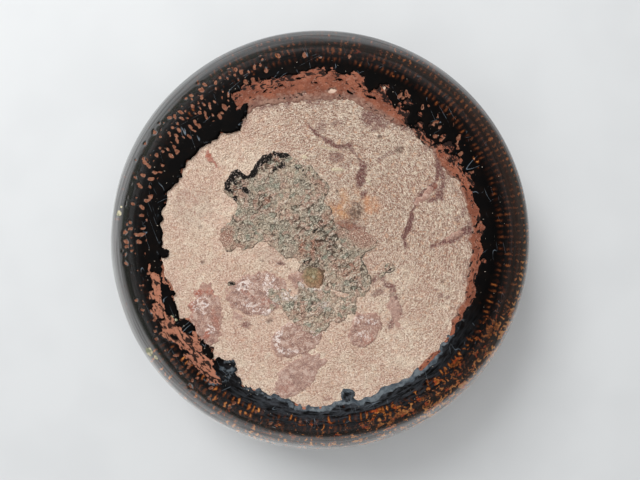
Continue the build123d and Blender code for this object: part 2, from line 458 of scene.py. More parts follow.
# where the coats are worn off the foot: (angle in degrees, mm from the axis or mm)
worn = {
    "woodEdge": [
        (0, 62.3), (7, 62.5), (16, 62.0), (25, 60.2), (32, 58.4), (37, 59.4), (46, 58.1), (59, 57.2),
        (66, 56.5), (74, 57.4), (79, 58.3), (86, 57.9), (94, 57.6), (106, 58.3), (115, 60.4), (120, 60.5),
        (122, 59.1), (126, 55.6), (131, 57.6), (135, 59.3), (141, 61.7), (149, 63.1), (155, 63.5),
        (162, 64.8), (169, 66.0), (177, 65.0), (183, 65.3), (188, 65.0), (193, 64.7), (197, 64.4),
        (200, 63.6), (204, 64.6), (207, 66.4), (209, 65.4), (211, 61.8), (214.5, 62.3), (220.5, 65.0),
        (223, 63.5), (225.5, 61.2), (227.5, 65.4), (230, 63.4), (235, 62.8), (237, 66.8), (245, 66.9),
        (252, 66.6), (257, 66.1), (262, 68.3), (267, 68.3), (272, 67.6), (277, 66.9), (283, 67.4),
        (293, 66.9), (304, 66.0), (313, 65.7), (324, 64.7), (332, 63.8), (341, 63.6), (351, 62.3),
    ],
    "brickWidth": [
        (0, 4.4), (6, 4.2), (12, 4.2), (17, 3.8), (23, 4.4), (28, 5.4), (34, 5.6), (40, 3.6), (45, 2.6),
        (50, 2.8), (55, 4.4), (60, 8.0), (64, 9.0), (67.5, 10.5), (70, 8.0), (71.8, 6.0), (73, 8.0),
        (75, 10.4), (78, 11.2), (85, 11.6), (90, 12.2), (97, 11.5), (104, 10.3), (110, 9.0), (115, 9.5),
        (119, 11.0), (121, 9.0), (122.5, 3.0), (124, 0), (188, 0), (194, 0.5), (197, 1.2), (200, 0.3),
        (206, 0.3), (211, 0.6), (217, 0.7), (221, 1.6), (226, 0.6), (231, 0.3), (236, 0), (306, 0),
        (309, 0.9), (313, 1.2), (317, 0.2), (322, 0), (325, 0.4), (328, 1.0), (332, 2.0), (338, 2.7),
        (345, 2.6), (352, 3.6),
    ],
    # the red band inside the lacquer at the lower left: where it starts, and how wide it is
    "tornFrom": [
        (188, 71), (192, 69), (196, 67.6), (200, 69.0), (203, 70.2), (206, 69.6), (208.5, 66.8),
        (211, 68.4), (214, 68.0), (216.5, 66.6), (221, 65.0), (226, 67.0), (229, 68.2), (233, 70),
        (238, 71),
    ],
    "tornWidth": [
        (0, -7), (188, -7), (192, 1.5), (196, 6.0), (200, 5.4), (205, 6.0), (209, 8.8), (216, 7.8),
        (222, 8.2), (227, 6.0), (231, 4.5), (235, 1.5), (239, -7),
    ],
    "raggedness": [
        (0, 1.4), (20, 1.7), (30, 2.2), (40, 2.6), (55, 2.9), (70, 2.3), (80, 1.6), (100, 1.6), (115, 1.8),
        (121, 1.4), (126, 0.9), (189, 0.9), (196, 1.5), (215, 1.8), (230, 1.7), (240, 2.0), (258, 1.8),
        (268, 0.9), (274, 0.3), (290, 0.3), (310, 0.5), (330, 0.9),
    ],
    # how much further in than the edge the lacquer reaches at its nubs
    "nubs": [
        (0, 0), (114, 0), (117, 3.5), (125, 3.5), (127, 0), (180, 0), (183, 1.8), (187, 1.8), (190, 0),
        (202, 0), (205, 1.4), (209, 1.4), (212, 0), (228, 0), (232, 2.6), (236, 2.6), (240, 0), (274, 0),
        (277, 4.4), (283, 4.4), (286, 0),
    ],
    "bevel": [
        (0, 0.5), (120, 0.7), (180, 0.8), (200, 0.5), (250, 0.9), (275, 1.7), (320, 1.9), (335, 0.8),
        (345, 0.5),
    ],
    # ovals: centre, half length, half width, turn, 1
    "lacquerLeft": [
        (-64.4, -5.2, 3.4, 2.7, 0, 1), (11.1, -64.4, 5.0, 4.0, 90, 1), (-38.0, -51.6, 4.4, 3.2, 35, 1),
        (-62.2, -25.6, 7.4, 3.3, -68, 1), (-54.4, -34.8, 5.0, 2.9, -40, 1),
        (-46.4, -45.6, 5.0, 2.8, -55, 1), (-41.0, -50.5, 3.6, 2.2, -40, 1), (-69.5, -25.5, 4.4, 1.2, 0, 1),
        (-66.5, -33.0, 4.0, 1.1, 10, 1), (-60.5, -40.0, 3.6, 1.1, -20, 1), (-56.0, -46.0, 2.6, 1.0, -10, 1),
        (-64.0, -21.8, 2.8, 1.0, 5, 1), (-32.4, 51.8, 6.6, 3.0, 61, 1), (-9, 66.3, 2.2, 0.6, 10, 1),
        (-16, 63.4, 1.8, 0.5, 25, 1), (-2, 64.5, 1.5, 0.5, 0, 1), (8, 65.8, 2.3, 0.6, -10, 1),
        (-22.5, 61.3, 2.0, 0.6, 40, 1), (12, 60.8, 2.4, 0.7, -30, 1), (11.5, 57.8, 1.9, 0.6, -5, 1),
        (21.2, 58.6, 3.2, 0.9, -15, 1), (16.5, 63.2, 1.6, 0.8, -60, 1), (61.5, 21.5, 1.4, 0.8, 80, 1),
        (64.3, 6.5, 2.2, 0.7, 70, 1), (65.0, -3.5, 1.5, 0.6, 20, 1),
    ],
    "lacquerGone": [
        (41, 51.7, 1.6, 1.1, 0, 1), (53.2, 38.6, 3.4, 2.3, -50, 1), (50.2, 42.6, 1.8, 1.0, 20, 1),
        (45.2, 47.4, 1.8, 0.8, 40, 1), (26.3, 62.6, 3.2, 2.6, 0, 1), (36.2, 56.4, 2.6, 1.6, -40, 1),
        (57.4, 32.6, 2.6, 1.3, -60, 1), (60.8, 26.5, 2.0, 1.6, -70, 1), (67.2, -8.5, 1.6, 1.2, 10, 1),
        (-47.5, -55.0, 3.2, 1.8, -45, 1), (-70.5, -11.5, 2.6, 1.0, 80, 1),
    ],
    "groundGone": [(5, 61.4, 2.4, 1.4, 10, 1), (26.4, 62.6, 0.9, 0.9, 0, 1), (-6.5, 60.3, 1.2, 0.6, 20, 1)],
}

# chips where the painted strokes rubbed through to the ground, thickest on the left
chips = {
    "around": 2.9, "along": 3.3,                 # one place for a chip, in mm
    "halfWidth": 0.74, "halfLength": 1.65, "slope": 0.45,
    "reach": 72.0,                               # mm round the axis are counted this far out
    "size": [(0, 0.5), (66, 0.5), (90, 0.8), (115, 1.0), (240, 1.0), (270, 0.8), (300, 0.5)],
    "thick": [
        (0, 0), (16, 0), (26, 0.45), (38, 0.65), (50, 0.5), (62, 0.3), (75, 0.05), (100, 0.1), (112, 0.4),
        (120, 0.8), (150, 0.75), (165, 0.52), (180, 0.4), (200, 0.42), (225, 0.4), (245, 0.15), (262, 0.05),
        (300, 0),
    ],
    "starts": [
        (0, 64), (40, 62), (60, 64), (100, 72), (118, 68), (126, 64), (140, 67), (160, 71), (180, 72),
        (200, 70), (230, 72), (260, 76), (300, 76),
    ],
    "ends": [
        (0, 68), (26, 70), (50, 71), (66, 72), (75, 80), (112, 80), (126, 84), (150, 86), (175, 86),
        (200, 81), (230, 82), (262, 86), (300, 76),
    ],
}


def chipDistance(run, angle):
    # mm inside a chip: slanting ovals scattered one to a place, most of the places empty outside the rubbed
    # side, with a broken outline
    c = chips
    around, along = angle * c["reach"] / c["around"], run / c["along"]
    degrees = np.degrees(angle)
    low, high = roundTable(c["starts"], degrees), roundTable(c["ends"], degrees)
    zone = smoothStep(low - 1.5, low + 1.5, run) * (1 - smoothStep(high - 4, high + 6, run))
    thick = roundTable(c["thick"], degrees) * zone
    scale = roundTable(c["size"], degrees)
    inside = np.full(run.shape, -1.0)
    for stepAround, stepAlong in itertools.product((-1, 0, 1), repeat=2):
        cellAround = np.floor(around).astype(np.int64) + stepAround
        cellAlong = np.floor(along).astype(np.int64) + stepAlong
        draw = [latticeNumber(50 + k, cellAround, cellAlong) for k in range(5)]
        u = around - cellAround - 0.5 - 0.5 * (draw[0] - 0.5) - 0.5 * (cellAlong % 2)
        u = u * c["around"] * run / c["reach"]
        v = (along - cellAlong - 0.5 - 0.6 * (draw[1] - 0.5)) * c["along"]
        u = u + v * c["slope"] * (draw[2] - 0.3)
        size = (0.4 + 0.75 * draw[3]) * scale
        oval = (1 - np.hypot(u / c["halfWidth"] / size, v / c["halfLength"] / size)) * c["halfWidth"] * size
        inside = np.maximum(inside, np.where(draw[4] < thick, oval, -1.0))
    broken = np.interp(scale, (0.5, 1.0), (1.0, 0.5))
    return inside + broken * fractal(60, 2, around * 2.4, along * 2.6) + (broken - 0.5) * 0.5 * zone


def scallops(angle):
    # mm by which both coats' inner edge bites in and out round the wood
    return 1.7 * fractal(15, 3, np.cos(angle) * 13.0, np.sin(angle) * 13.0)


def lacquerCover(run, angle):
    # mm inside the lacquer, less than 0 where it is gone: past its ragged edge, between the streaks of the
    # torn band, and in small bare places; islands of it are left over
    x, y = run * np.cos(angle), run * np.sin(angle)
    degrees = np.degrees(angle) + 1.7 * fractal(16, 3, x / 1.9, y / 1.9)
    edge = roundTable(worn["woodEdge"], degrees) + roundTable(worn["brickWidth"], degrees) + scallops(angle)
    teeth = 0.8 * fractal(11, 2, angle * 64 / 2.6, run / 3.0) + 0.4 * fractal(12, 2, x / 1.7, y / 1.7)
    cover = run - edge + roundTable(worn["raggedness"], degrees) * 1.7 * teeth
    tornFrom, tornWidth = roundTable(worn["tornFrom"], degrees), roundTable(worn["tornWidth"], degrees)
    streaks = 2.6 * fractal(17, 3, x / 3.7, y / 2.5) + 0.7 * fractal(18, 2, x / 1.3, y / 1.1)
    cover = np.minimum(cover, np.maximum(tornFrom - run, run - tornFrom - tornWidth) + streaks)
    cover = np.maximum(cover, 5.0 * spots(x, y, worn["lacquerLeft"], 1.0, 0.3, 13, 1.6) - 1.1)
    gone = spots(x, y, worn["lacquerGone"], 1.0, 0.4, 14, 1.0)
    return np.where(gone > 0, np.minimum(cover, 2.0 - 6.0 * gone), cover)


def groundCover(run, angle):
    # mm inside the ground coat: it ends a little further out than the lacquer where no red shows
    x, y = run * np.cos(angle), run * np.sin(angle)
    degrees = np.degrees(angle)
    brick = roundTable(worn["brickWidth"], degrees)
    edge = roundTable(worn["woodEdge"], degrees) + scallops(angle) + 0.9 * (1 - smoothStep(0, 1.0, brick))
    teeth = 0.7 * fractal(21, 3, angle * 60 / 3.0, run / 2.0) + 0.5 * fractal(22, 2, x / 1.1, y / 1.1)
    cover = run - edge + (0.9 * smoothStep(0, 2.0, brick) + 0.1) * teeth
    gone = spots(x, y, worn["groundGone"], 1.0, 0.3, 23, 0.8)
    return np.where(gone > 0, np.minimum(cover, 3.0 - 9.0 * gone), cover)


# the turned body: its worn foot, and the wood under the coats
bareWood = {
    "segments": 640, "footRing": 0.55,
    "stretch": 15.0, "softCentre": 14.0,        # fibres lie three times longer round the axis than across
    "tearHeight": 0.13, "fibreHeight": 0.15, "lumpHeight": 0.06, "scoopDepth": 0.14,
    "pitDepth": 0.22, "splinterHeight": 0.4,
    "torn": [
        (0, 0.9), (45, 1.0), (90, 0.8), (120, 0.45), (160, 0.25), (210, 0.2), (260, 0.2), (300, 0.3),
        (340, 0.7),
    ],
    # contrast of the fine grain
    "coarse": [
        (0, 1.1), (45, 1.15), (70, 1.3), (105, 1.3), (130, 0.9), (180, 0.85), (260, 0.85), (320, 0.95),
    ],
    # stains of the old ground left in the pores: centre, half length, half width, turn, strength
    "purple": [
        (22.5, 51.0, 6.5, 5.0, 20, 0.75), (25, 47.2, 5.5, 2.2, 20, 0.6), (16.6, 26.6, 5.8, 2.1, 78, 0.95),
        (18.2, 18.8, 2.4, 1.8, 40, 0.75), (-30.5, -34.8, 2.8, 2.2, 0, 0.8),
        (46.2, 16.6, 3.6, 1.7, 20, 0.85), (42.5, 19.0, 3.4, 1.6, 40, 0.8), (54.6, 1.0, 6.4, 1.5, 26, 0.75),
        (50.0, -22.8, 2.0, 1.0, 40, 0.6), (47.8, -20.5, 1.3, 0.8, 0, 0.6), (52.6, -23.5, 1.4, 1.2, 0, 0.55),
        (6.0, 38.9, 4.5, 0.9, -22, 0.8), (0.5, 46.5, 2.6, 3.2, 0, 0.5), (7, 48, 3.6, 1.6, 10, 0.45),
        # the wide, weak ovals at (-52, 13) and (-18, -6) only darken the wood broadly there
        (-15.8, -9.7, 2.6, 0.9, -8, 0.7), (-57, 18, 6, 2.2, 50, 0.25), (-52, 13, 12, 10, 30, 0.2),
        (-18, -6, 9, 5, 0, 0.16), (31.5, -27.5, 6.8, 2.4, 108, 0.7), (24.0, -21.5, 3.5, 2.0, 30, 0.55),
        (12.0, 5.0, 9.0, 3.0, -10, 0.6), (46.0, 21.0, 3.0, 2.4, 40, 0.8), (56.5, 8.5, 2.6, 1.4, 70, 0.5),
        (59.0, 12.0, 3.4, 1.3, 75, 0.6), (3.5, -65.5, 2.4, 1.0, 10, 0.5), (6.5, 34.0, 4.5, 2.6, 10, 0.55),
        (11.0, 31.0, 3.2, 1.8, 30, 0.35), (-2.0, -12.0, 6.0, 3.5, 60, 0.5),
    ],
    "purpleLines": [
        ([(-5, 48), (-3, 45), (2, 41.5), (8, 38.6), (13, 39.4)], 0.9, 0.9),
        ([(48.2, 36), (49.2, 30.5), (48.4, 25), (45.0, 20.5), (40.2, 16.5), (37.8, 11.5),
          (36.5, 6), (34.5, 1), (35.5, -3)], 1.0, 1.0),
        ([(49.5, 32), (51.0, 24), (49.5, 18)], 1.9, 0.85),
        ([(12.5, 38.0), (16.5, 33), (17.4, 30)], 0.7, 0.6),
        ([(17.4, 30), (17.6, 26), (16.2, 22)], 1.7, 0.85), ([(24, 33), (30, 36), (34, 41)], 0.8, 0.45),
        ([(62, 4.5), (56, 1.0), (50, -1), (47, -2.5)], 1.3, 1.0),
        ([(20.5, -17), (25, -15.5), (30.5, -21), (32.0, -28), (29.0, -35)], 1.5, 0.8),
    ],
    "brick": [
        (47.0, 22.0, 2.8, 1.4, 60, 0.8), (24.5, 56.5, 5.5, 2.2, -20, 0.7), (50.5, -24.8, 1.0, 0.7, 0, 0.6),
        (-43.5, -51.5, 2.4, 1.4, -30, 0.5),
    ],
    "rust": [
        (12.5, 11.0, 13.0, 11.0, 0, 0.5), (7.5, 13.0, 6.5, 6.0, 20, 0.85), (19.5, 13.5, 6.0, 5.5, 0, 0.85),
        (12.0, 6.0, 9.0, 3.6, -12, 0.8), (15.0, 19.5, 3.0, 2.0, 0, 0.55), (10.0, 18.5, 5.5, 4.0, 0, 0.35),
    ],
    "ash": [
        (14.4, 11.6, 3.6, 5.4, -14, 1.0), (12.4, 8.6, 2.8, 2.4, 0, 0.7), (32.6, 37.0, 2.6, 1.5, 8, 1.0),
        (24.4, 42.6, 1.5, 1.4, 0, 0.9), (33.8, 12.5, 1.6, 0.9, -20, 0.7), (-49.0, 5.6, 1.3, 0.9, 30, 0.7),
        (-48.6, -9.2, 1.3, 1.0, 0, 0.8), (7.2, 20.2, 1.0, 1.0, 0, 0.8), (50.5, -17, 0.9, 0.9, 0, 0.6),
    ],
    "dark": [
        (28.6, -11.6, 1.6, 1.5, 0, 0.9), (25.5, -14.2, 2.4, 0.7, 45, 0.8), (-36.2, -18.0, 1.3, 1.1, 0, 1.0),
        (-20.7, -33.2, 2.2, 1.3, 20, 0.7), (-16.0, -9.7, 1.7, 0.5, -8, 0.7), (7.2, 20.2, 0.6, 0.6, 0, 0.8),
        (9.5, 38.4, 2.4, 0.6, -20, 0.7), (-48.6, -9.2, 0.7, 0.6, 0, 0.8), (21.5, -16.8, 2.6, 0.6, 50, 0.6),
        (-24.0, -8.5, 1.6, 0.5, -10, 0.6), (-12.5, -12.0, 1.2, 0.6, 30, 0.5),
        (-20.0, -13.0, 0.9, 0.5, 0, 0.5),
    ],
    "pale": [
        (7.0, 29.0, 3.8, 0.9, -3, 1.0), (-6.5, 34.2, 1.5, 1.2, 0, 1.0), (4.6, -41.8, 0.8, 0.7, 0, 1.0),
        (4, 37.6, 7.0, 0.5, -16, 0.6), (20.0, 24.0, 3.0, 0.5, -50, 0.7), (-14, 60, 2, 0.8, 10, 0.6),
        (54.5, 27, 2.5, 0.5, -60, 0.6),
    ],
}


def grainPlace(x, y, size):
    # noise coordinates that run slowly round the axis and fast across it
    reach = np.hypot(x, y)
    spread = np.sqrt(reach ** 2 + bareWood["softCentre"] ** 2)
    return (x * bareWood["stretch"] / spread / size, y * bareWood["stretch"] / spread / size, reach / size)


def woodRelief(x, y):
    # mm by which the worn face stands over the turned level: torn ridges, fibres, lumps and pale splinters,
    # less scooped-out fibres and dark pits; and how hollow it is, from 0 to 1, for painted shade in the low
    # places
    b = bareWood
    torn = roundTable(b["torn"], np.degrees(np.arctan2(y, x)))
    ridge = 1 - 3.0 * np.abs(fractal(31, 3, *grainPlace(x, y, 1.9)))
    fibre = fractal(34, 2, *grainPlace(x, y, 1.2)) + 1.1 * fractal(41, 2, x / 1.5, y / 1.5)
    lump = b["lumpHeight"] * fractal(36, 3, x / 6.5, y / 6.5)
    scoop = smoothStep(0.1, 0.4, fractal(38, 3, *grainPlace(x, y, 2.6)))
    height = b["tearHeight"] * torn * ridge + b["fibreHeight"] * (0.5 + 0.5 * torn) * fibre
    height = height + lump - b["scoopDepth"] * torn * scoop
    height = height - b["pitDepth"] * spots(x, y, b["dark"], 0.6)
    height = height + b["splinterHeight"] * spots(x, y, b["pale"], 0.7)
    return height, np.clip(0.5 - 1.6 * (height - lump), 0, 1)


def lineStain(x, y, lines, seed):
    # soft stains along lines with a wavering edge: points, half width, strength
    wobble = 1.0 * fractal(seed, 3, x / 1.7, y / 1.7) + 0.8 * fractal(seed + 60, 2, x / 4.0, y / 4.0)
    total = np.zeros(np.shape(x))
    for points, halfWidth, strength in lines:
        away = lineDistance(x, y, points) / halfWidth - wobble
        total = np.maximum(total, strength * smoothStep(1.3, 0.3, away))
    return total


def limeWoodFinish():
    # pale wood in clouds of tone and blush, mealy and gritty, with fibres that run round the axis where it is
    # torn and carry painted shade on their low parts and painted light on their raised ones, then painted
    # shade in the hollows and the stains that the mesh carries
    b = bareWood
    f = Finish("bareLimeWood")
    place = f.millimetres()
    x, y, _ = f.split(place)
    square = x * x + y * y
    spread = (square + b["softCentre"] ** 2) ** 0.5
    grain = f.join(x * b["stretch"] / spread, y * b["stretch"] / spread, square ** 0.5)
    blush = f.noise(f.millimetres((200, 0, 0)), 7, 4, 0.6)
    strand = f.noise(grain, 0.5, 2, 0.6, 0.3)
    sliver = f.noise(grain, 0.9, 3, 0.65, 0.6)
    meal = f.noise(f.millimetres((70, 0, 0)), 0.66, 2, 0.7)
    grit = f.noise(place, 0.44, 1, 0.7)
    fleck = f.noise(f.millimetres((0, 90, 0)), 1.5, 5, 0.75)
    peach = f.noise(f.millimetres((0, 40, 0)), 2.2, 3, 0.65)
    patchy = f.step(0.34, 0.62, f.noise(place, 1.1, 4, 0.7))
    hatch = f.step(0.36, 0.6, f.noise(place, 0.7, 3, 0.7))
    torn, harsh = f.value("torn"), f.value("coarse")
    broad = f.step(0.34, 0.66, f.noise(place, 16, 3, 0.55))
    amber = f.layers(
        f.blend(f.step(0.42, 0.58, f.noise(place, 3.0, 3, 0.6)), colour(178, 112, 70), colour(220, 150, 80)),
        (f.step(9.5, 5.0, y), colour(158, 98, 74)),
        (f.step(16.0, 18.5, x) * f.step(8.0, 10.0, y), colour(212, 128, 60)))
    wood = f.layers(
        f.blend(broad, colour(196, 167, 147), colour(224, 204, 182)),
        (f.step(0.40, 0.60, blush) * (0.65 - 0.35 * torn), colour(194, 153, 136)),
        (f.step(0.47, 0.68, meal) * (harsh * 0.7), colour(234, 217, 195)),
        (f.step(0.50, 0.30, meal) * (harsh * 0.7), colour(158, 121, 104)),
        (f.step(0.45, 0.33, sliver) * (torn * 0.3), colour(148, 108, 92)),
        (f.step(0.56, 0.66, sliver) * (torn * 0.3), colour(232, 214, 190)),
        # the fibres' own tone, with painted shade on the low ones and painted light on the raised ones
        (f.step(0.49, 0.34, strand) * (torn * 0.95), colour(142, 101, 83)),
        (f.step(0.53, 0.67, strand) * (0.1 + 0.7 * torn), colour(234, 217, 193)),
        (f.step(0.035, 0.0, abs(strand - 0.5)) * (0.1 + 0.6 * torn), colour(136, 95, 78)),
        (f.step(0.45, 0.28, grit) * (harsh * 0.85), colour(128, 92, 77)),
        (f.step(0.55, 0.72, grit) * (harsh * 0.8), colour(246, 234, 218)),
        (f.step(0.38, 0.33, fleck) * (0.45 + 0.4 * torn), colour(112, 78, 66)),
        (f.step(0.56, 0.68, peach) * (0.15 + 0.35 * torn), colour(212, 160, 126)),
        # painted shade in the worn face's hollows
        (f.step(0.5, 1.0, f.value("hollow")) * 0.35, colour(146, 106, 88)),
        (f.value("purple") * (0.5 + 0.75 * hatch), colour(114, 74, 70)),
        (f.value("brick") * (0.3 + 0.7 * patchy), colour(150, 84, 64)),
        (f.value("rust") * (0.8 + 0.2 * patchy), amber),
        (f.value("ash") * (0.25 + 0.75 * patchy), colour(110, 88, 76)),
        (f.value("dark") * (0.4 + 0.6 * hatch), colour(62, 46, 40)),
        (f.value("pale") * 0.8, colour(224, 211, 178)))
    height = strand * torn + sliver * (torn * 0.8) + (meal * 0.7 + grit * 0.5) * harsh
    return f.done(Base_Color=wood, Roughness=0.86, Specular_IOR_Level=0.3, Normal=f.bump(height, 0.8, 1.0))


def makeBareWood():
    # close rings over the foot, as deep below the finished surface as the wood was turned, less the worn
    # face's height where the coats are gone; a few wide ones go on under the coats round the wall and inside
    b = bareWood
    corner = bowl["footRounding"][0]
    footCount = int(corner / b["footRing"])
    run = np.concatenate([np.arange(1, footCount + 1) * (corner / footCount),
                          np.linspace(corner + 3, lipRun - 12, 9), np.linspace(lipRun - 7, lipRun + 9, 8),
                          np.linspace(lipRun + 20, wholeRun - 4, 8)])[:, None]
    angle = fullTurn(b["segments"])
    degrees = np.degrees(angle)
    x, y = run * np.cos(angle), run * np.sin(angle)
    edge = roundTable(worn["woodEdge"], degrees)
    height, hollow = woodRelief(x, y)
    bare = 1 - smoothStep(edge + 1.0, edge + 4.0, run)
    rings = onBowl(run, angle, bowl["woodDepth"] - height * bare)
    nearBrick = smoothStep(-4.5, 0.5, run - edge) * smoothStep(0, 3, roundTable(worn["brickWidth"], degrees))
    residue = nearBrick * smoothStep(-0.2, 0.5, fractal(45, 3, x / 2.2, y / 2.2))
    values = {
        # painted shade in the hollows of the worn face
        "hollow": hollow * bare,
        "torn": roundTable(b["torn"], degrees) * bare,
        "coarse": roundTable(b["coarse"], degrees) * bare,
        "purple": np.maximum.reduce([spots(x, y, b["purple"], 0.5, 0.45, 42),
                                     lineStain(x, y, b["purpleLines"], 43), 0.75 * residue]),
        "brick": spots(x, y, b["brick"], 0.6, 0.6, 44),
        "rust": spots(x, y, b["rust"], 1.3, 0.7, 46, 3.4),
        "ash": spots(x, y, b["ash"], 0.6, 0.5, 47),
        "dark": spots(x, y, b["dark"], 0.6, 0.4, 48, 0.9),
        "pale": spots(x, y, b["pale"], 0.6, 0.3, 49, 0.9),
    }
    turnedPiece("bareWood", rings, values, limeWoodFinish(), "turned_body")


# the red clay ground, which thins out over the wood round the foot
groundCoat = {
    "segments": 720,
    # rings of the outer sheet from the worn edge on: length, spacing
    "stretches": ((18, 0.45), (14, 1.0), (70, 3.5), (22, 2.2), (120, 8.0)), "underRings": 16,
    "overlap": 3.0, "edgeDepth": 2.1, "thinDepth": 0.42, "goneDepth": 1.3, "roughness": 0.05,
    # mm over which it thins out towards the wood
    "thinning": [
        (0, 1.0), (45, 1.4), (60, 4.0), (75, 6.0), (118, 6.0), (124, 1.0), (190, 1.0), (240, 1.0),
        (330, 1.0),
    ],
}


def brickFinish():
    # brick red clay in clouds, gritty and dusty, greyer where it thins out over the wood, paler at the lower
    # left, and with black shards of lacquer that lie round the axis
    f = Finish("brickGround")
    place = f.millimetres()
    x, y, _ = f.split(place)
    reach = (x * x + y * y) ** 0.5
    grit = f.noise(place, 0.5, 3, 0.7)
    flake = f.noise(place, 1.3, 4, 0.65)
    dust = f.noise(place, 0.9, 3, 0.7)
    shards = f.noise(f.join(x * 26.0 / reach, y * 26.0 / reach, reach / 1.3), 1.0, 3, 0.65, 0.5)
    dusty = f.blend(f.step(0.4, 0.6, flake), colour(119, 84, 73), colour(151, 117, 101))
    brick = f.layers(
        f.blend(f.step(0.35, 0.65, f.noise(place, 5.0, 4, 0.6)), colour(118, 68, 51), colour(148, 90, 68)),
        (f.step(0.55, 0.75, grit) * 0.5, colour(168, 116, 94)),
        (f.step(0.47, 0.33, grit) * 0.55, colour(92, 46, 35)),
        (f.step(0.56, 0.62, flake) * 0.35, colour(120, 60, 44)),
        (f.step(0.54, 0.64, dust) * 0.45, colour(168, 130, 114)),
        (f.step(0.2, 0.85, f.value("thin") + 1.1 * (flake - 0.5)), dusty),
        (f.step(-55.0, -85.0, x + y) * f.step(0.3, 0.5, flake) * 0.8, colour(174, 118, 94)),
        (f.step(0.62, 0.64, shards + 0.13 * f.value("tornBlack")) * 0.95, colour(16, 14, 14)))
    height = flake * 0.5 + grit * 0.4
    return f.done(Base_Color=brick, Roughness=0.74, Specular_IOR_Level=0.12, Normal=f.bump(height, 0.25, 0.8))


def makeGroundCoat():
    # two sheets from the worn edge to the inside floor. The outer one lies a coat of lacquer deep, goes
    # deeper where it thins out red towards the wood, and dips below the wood where it is gone
    g = groundCoat
    angle = fullTurn(g["segments"])
    degrees = np.degrees(angle)
    edge, brick = roundTable(worn["woodEdge"], degrees), roundTable(worn["brickWidth"], degrees)
    start = edge - g["overlap"]
    run, under = coatRuns(start, innerEnd, g["stretches"], g["underRings"])
    x, y = run * np.cos(angle), run * np.sin(angle)
    cover = groundCover(run, angle)
    uneven = cover + 0.8 * fractal(71, 3, x / 2.5, y / 2.5)
    thin = smoothStep(0, 2, brick) * (1 - smoothStep(0, roundTable(g["thinning"], degrees), uneven))
    depth = bowl["groundDepth"] + g["thinDepth"] * thin + g["goneDepth"] * (1 - smoothStep(-0.9, 0.25, cover))
    onFoot = 1 - smoothStep(74, 80, run)
    depth = depth + g["roughness"] * onFoot * (fractal(72, 3, x / 1.4, y / 1.4) + 0.2)
    underDepth = np.maximum(bowl["woodDepth"], g["edgeDepth"] * (under < start + 0.1))
    rings = np.concatenate([onBowl(under, angle, underDepth), onBowl(run, angle, depth)])
    tornBlack = smoothStep(5.5, 0.5, edge + brick - run) * roundTable(worn["raggedness"], degrees) / 2.0
    values = bothSheets(under, run, {"thin": thin, "tornBlack": tornBlack})
    turnedPiece("groundCoat", rings, values, brickFinish(), "ground_coat")


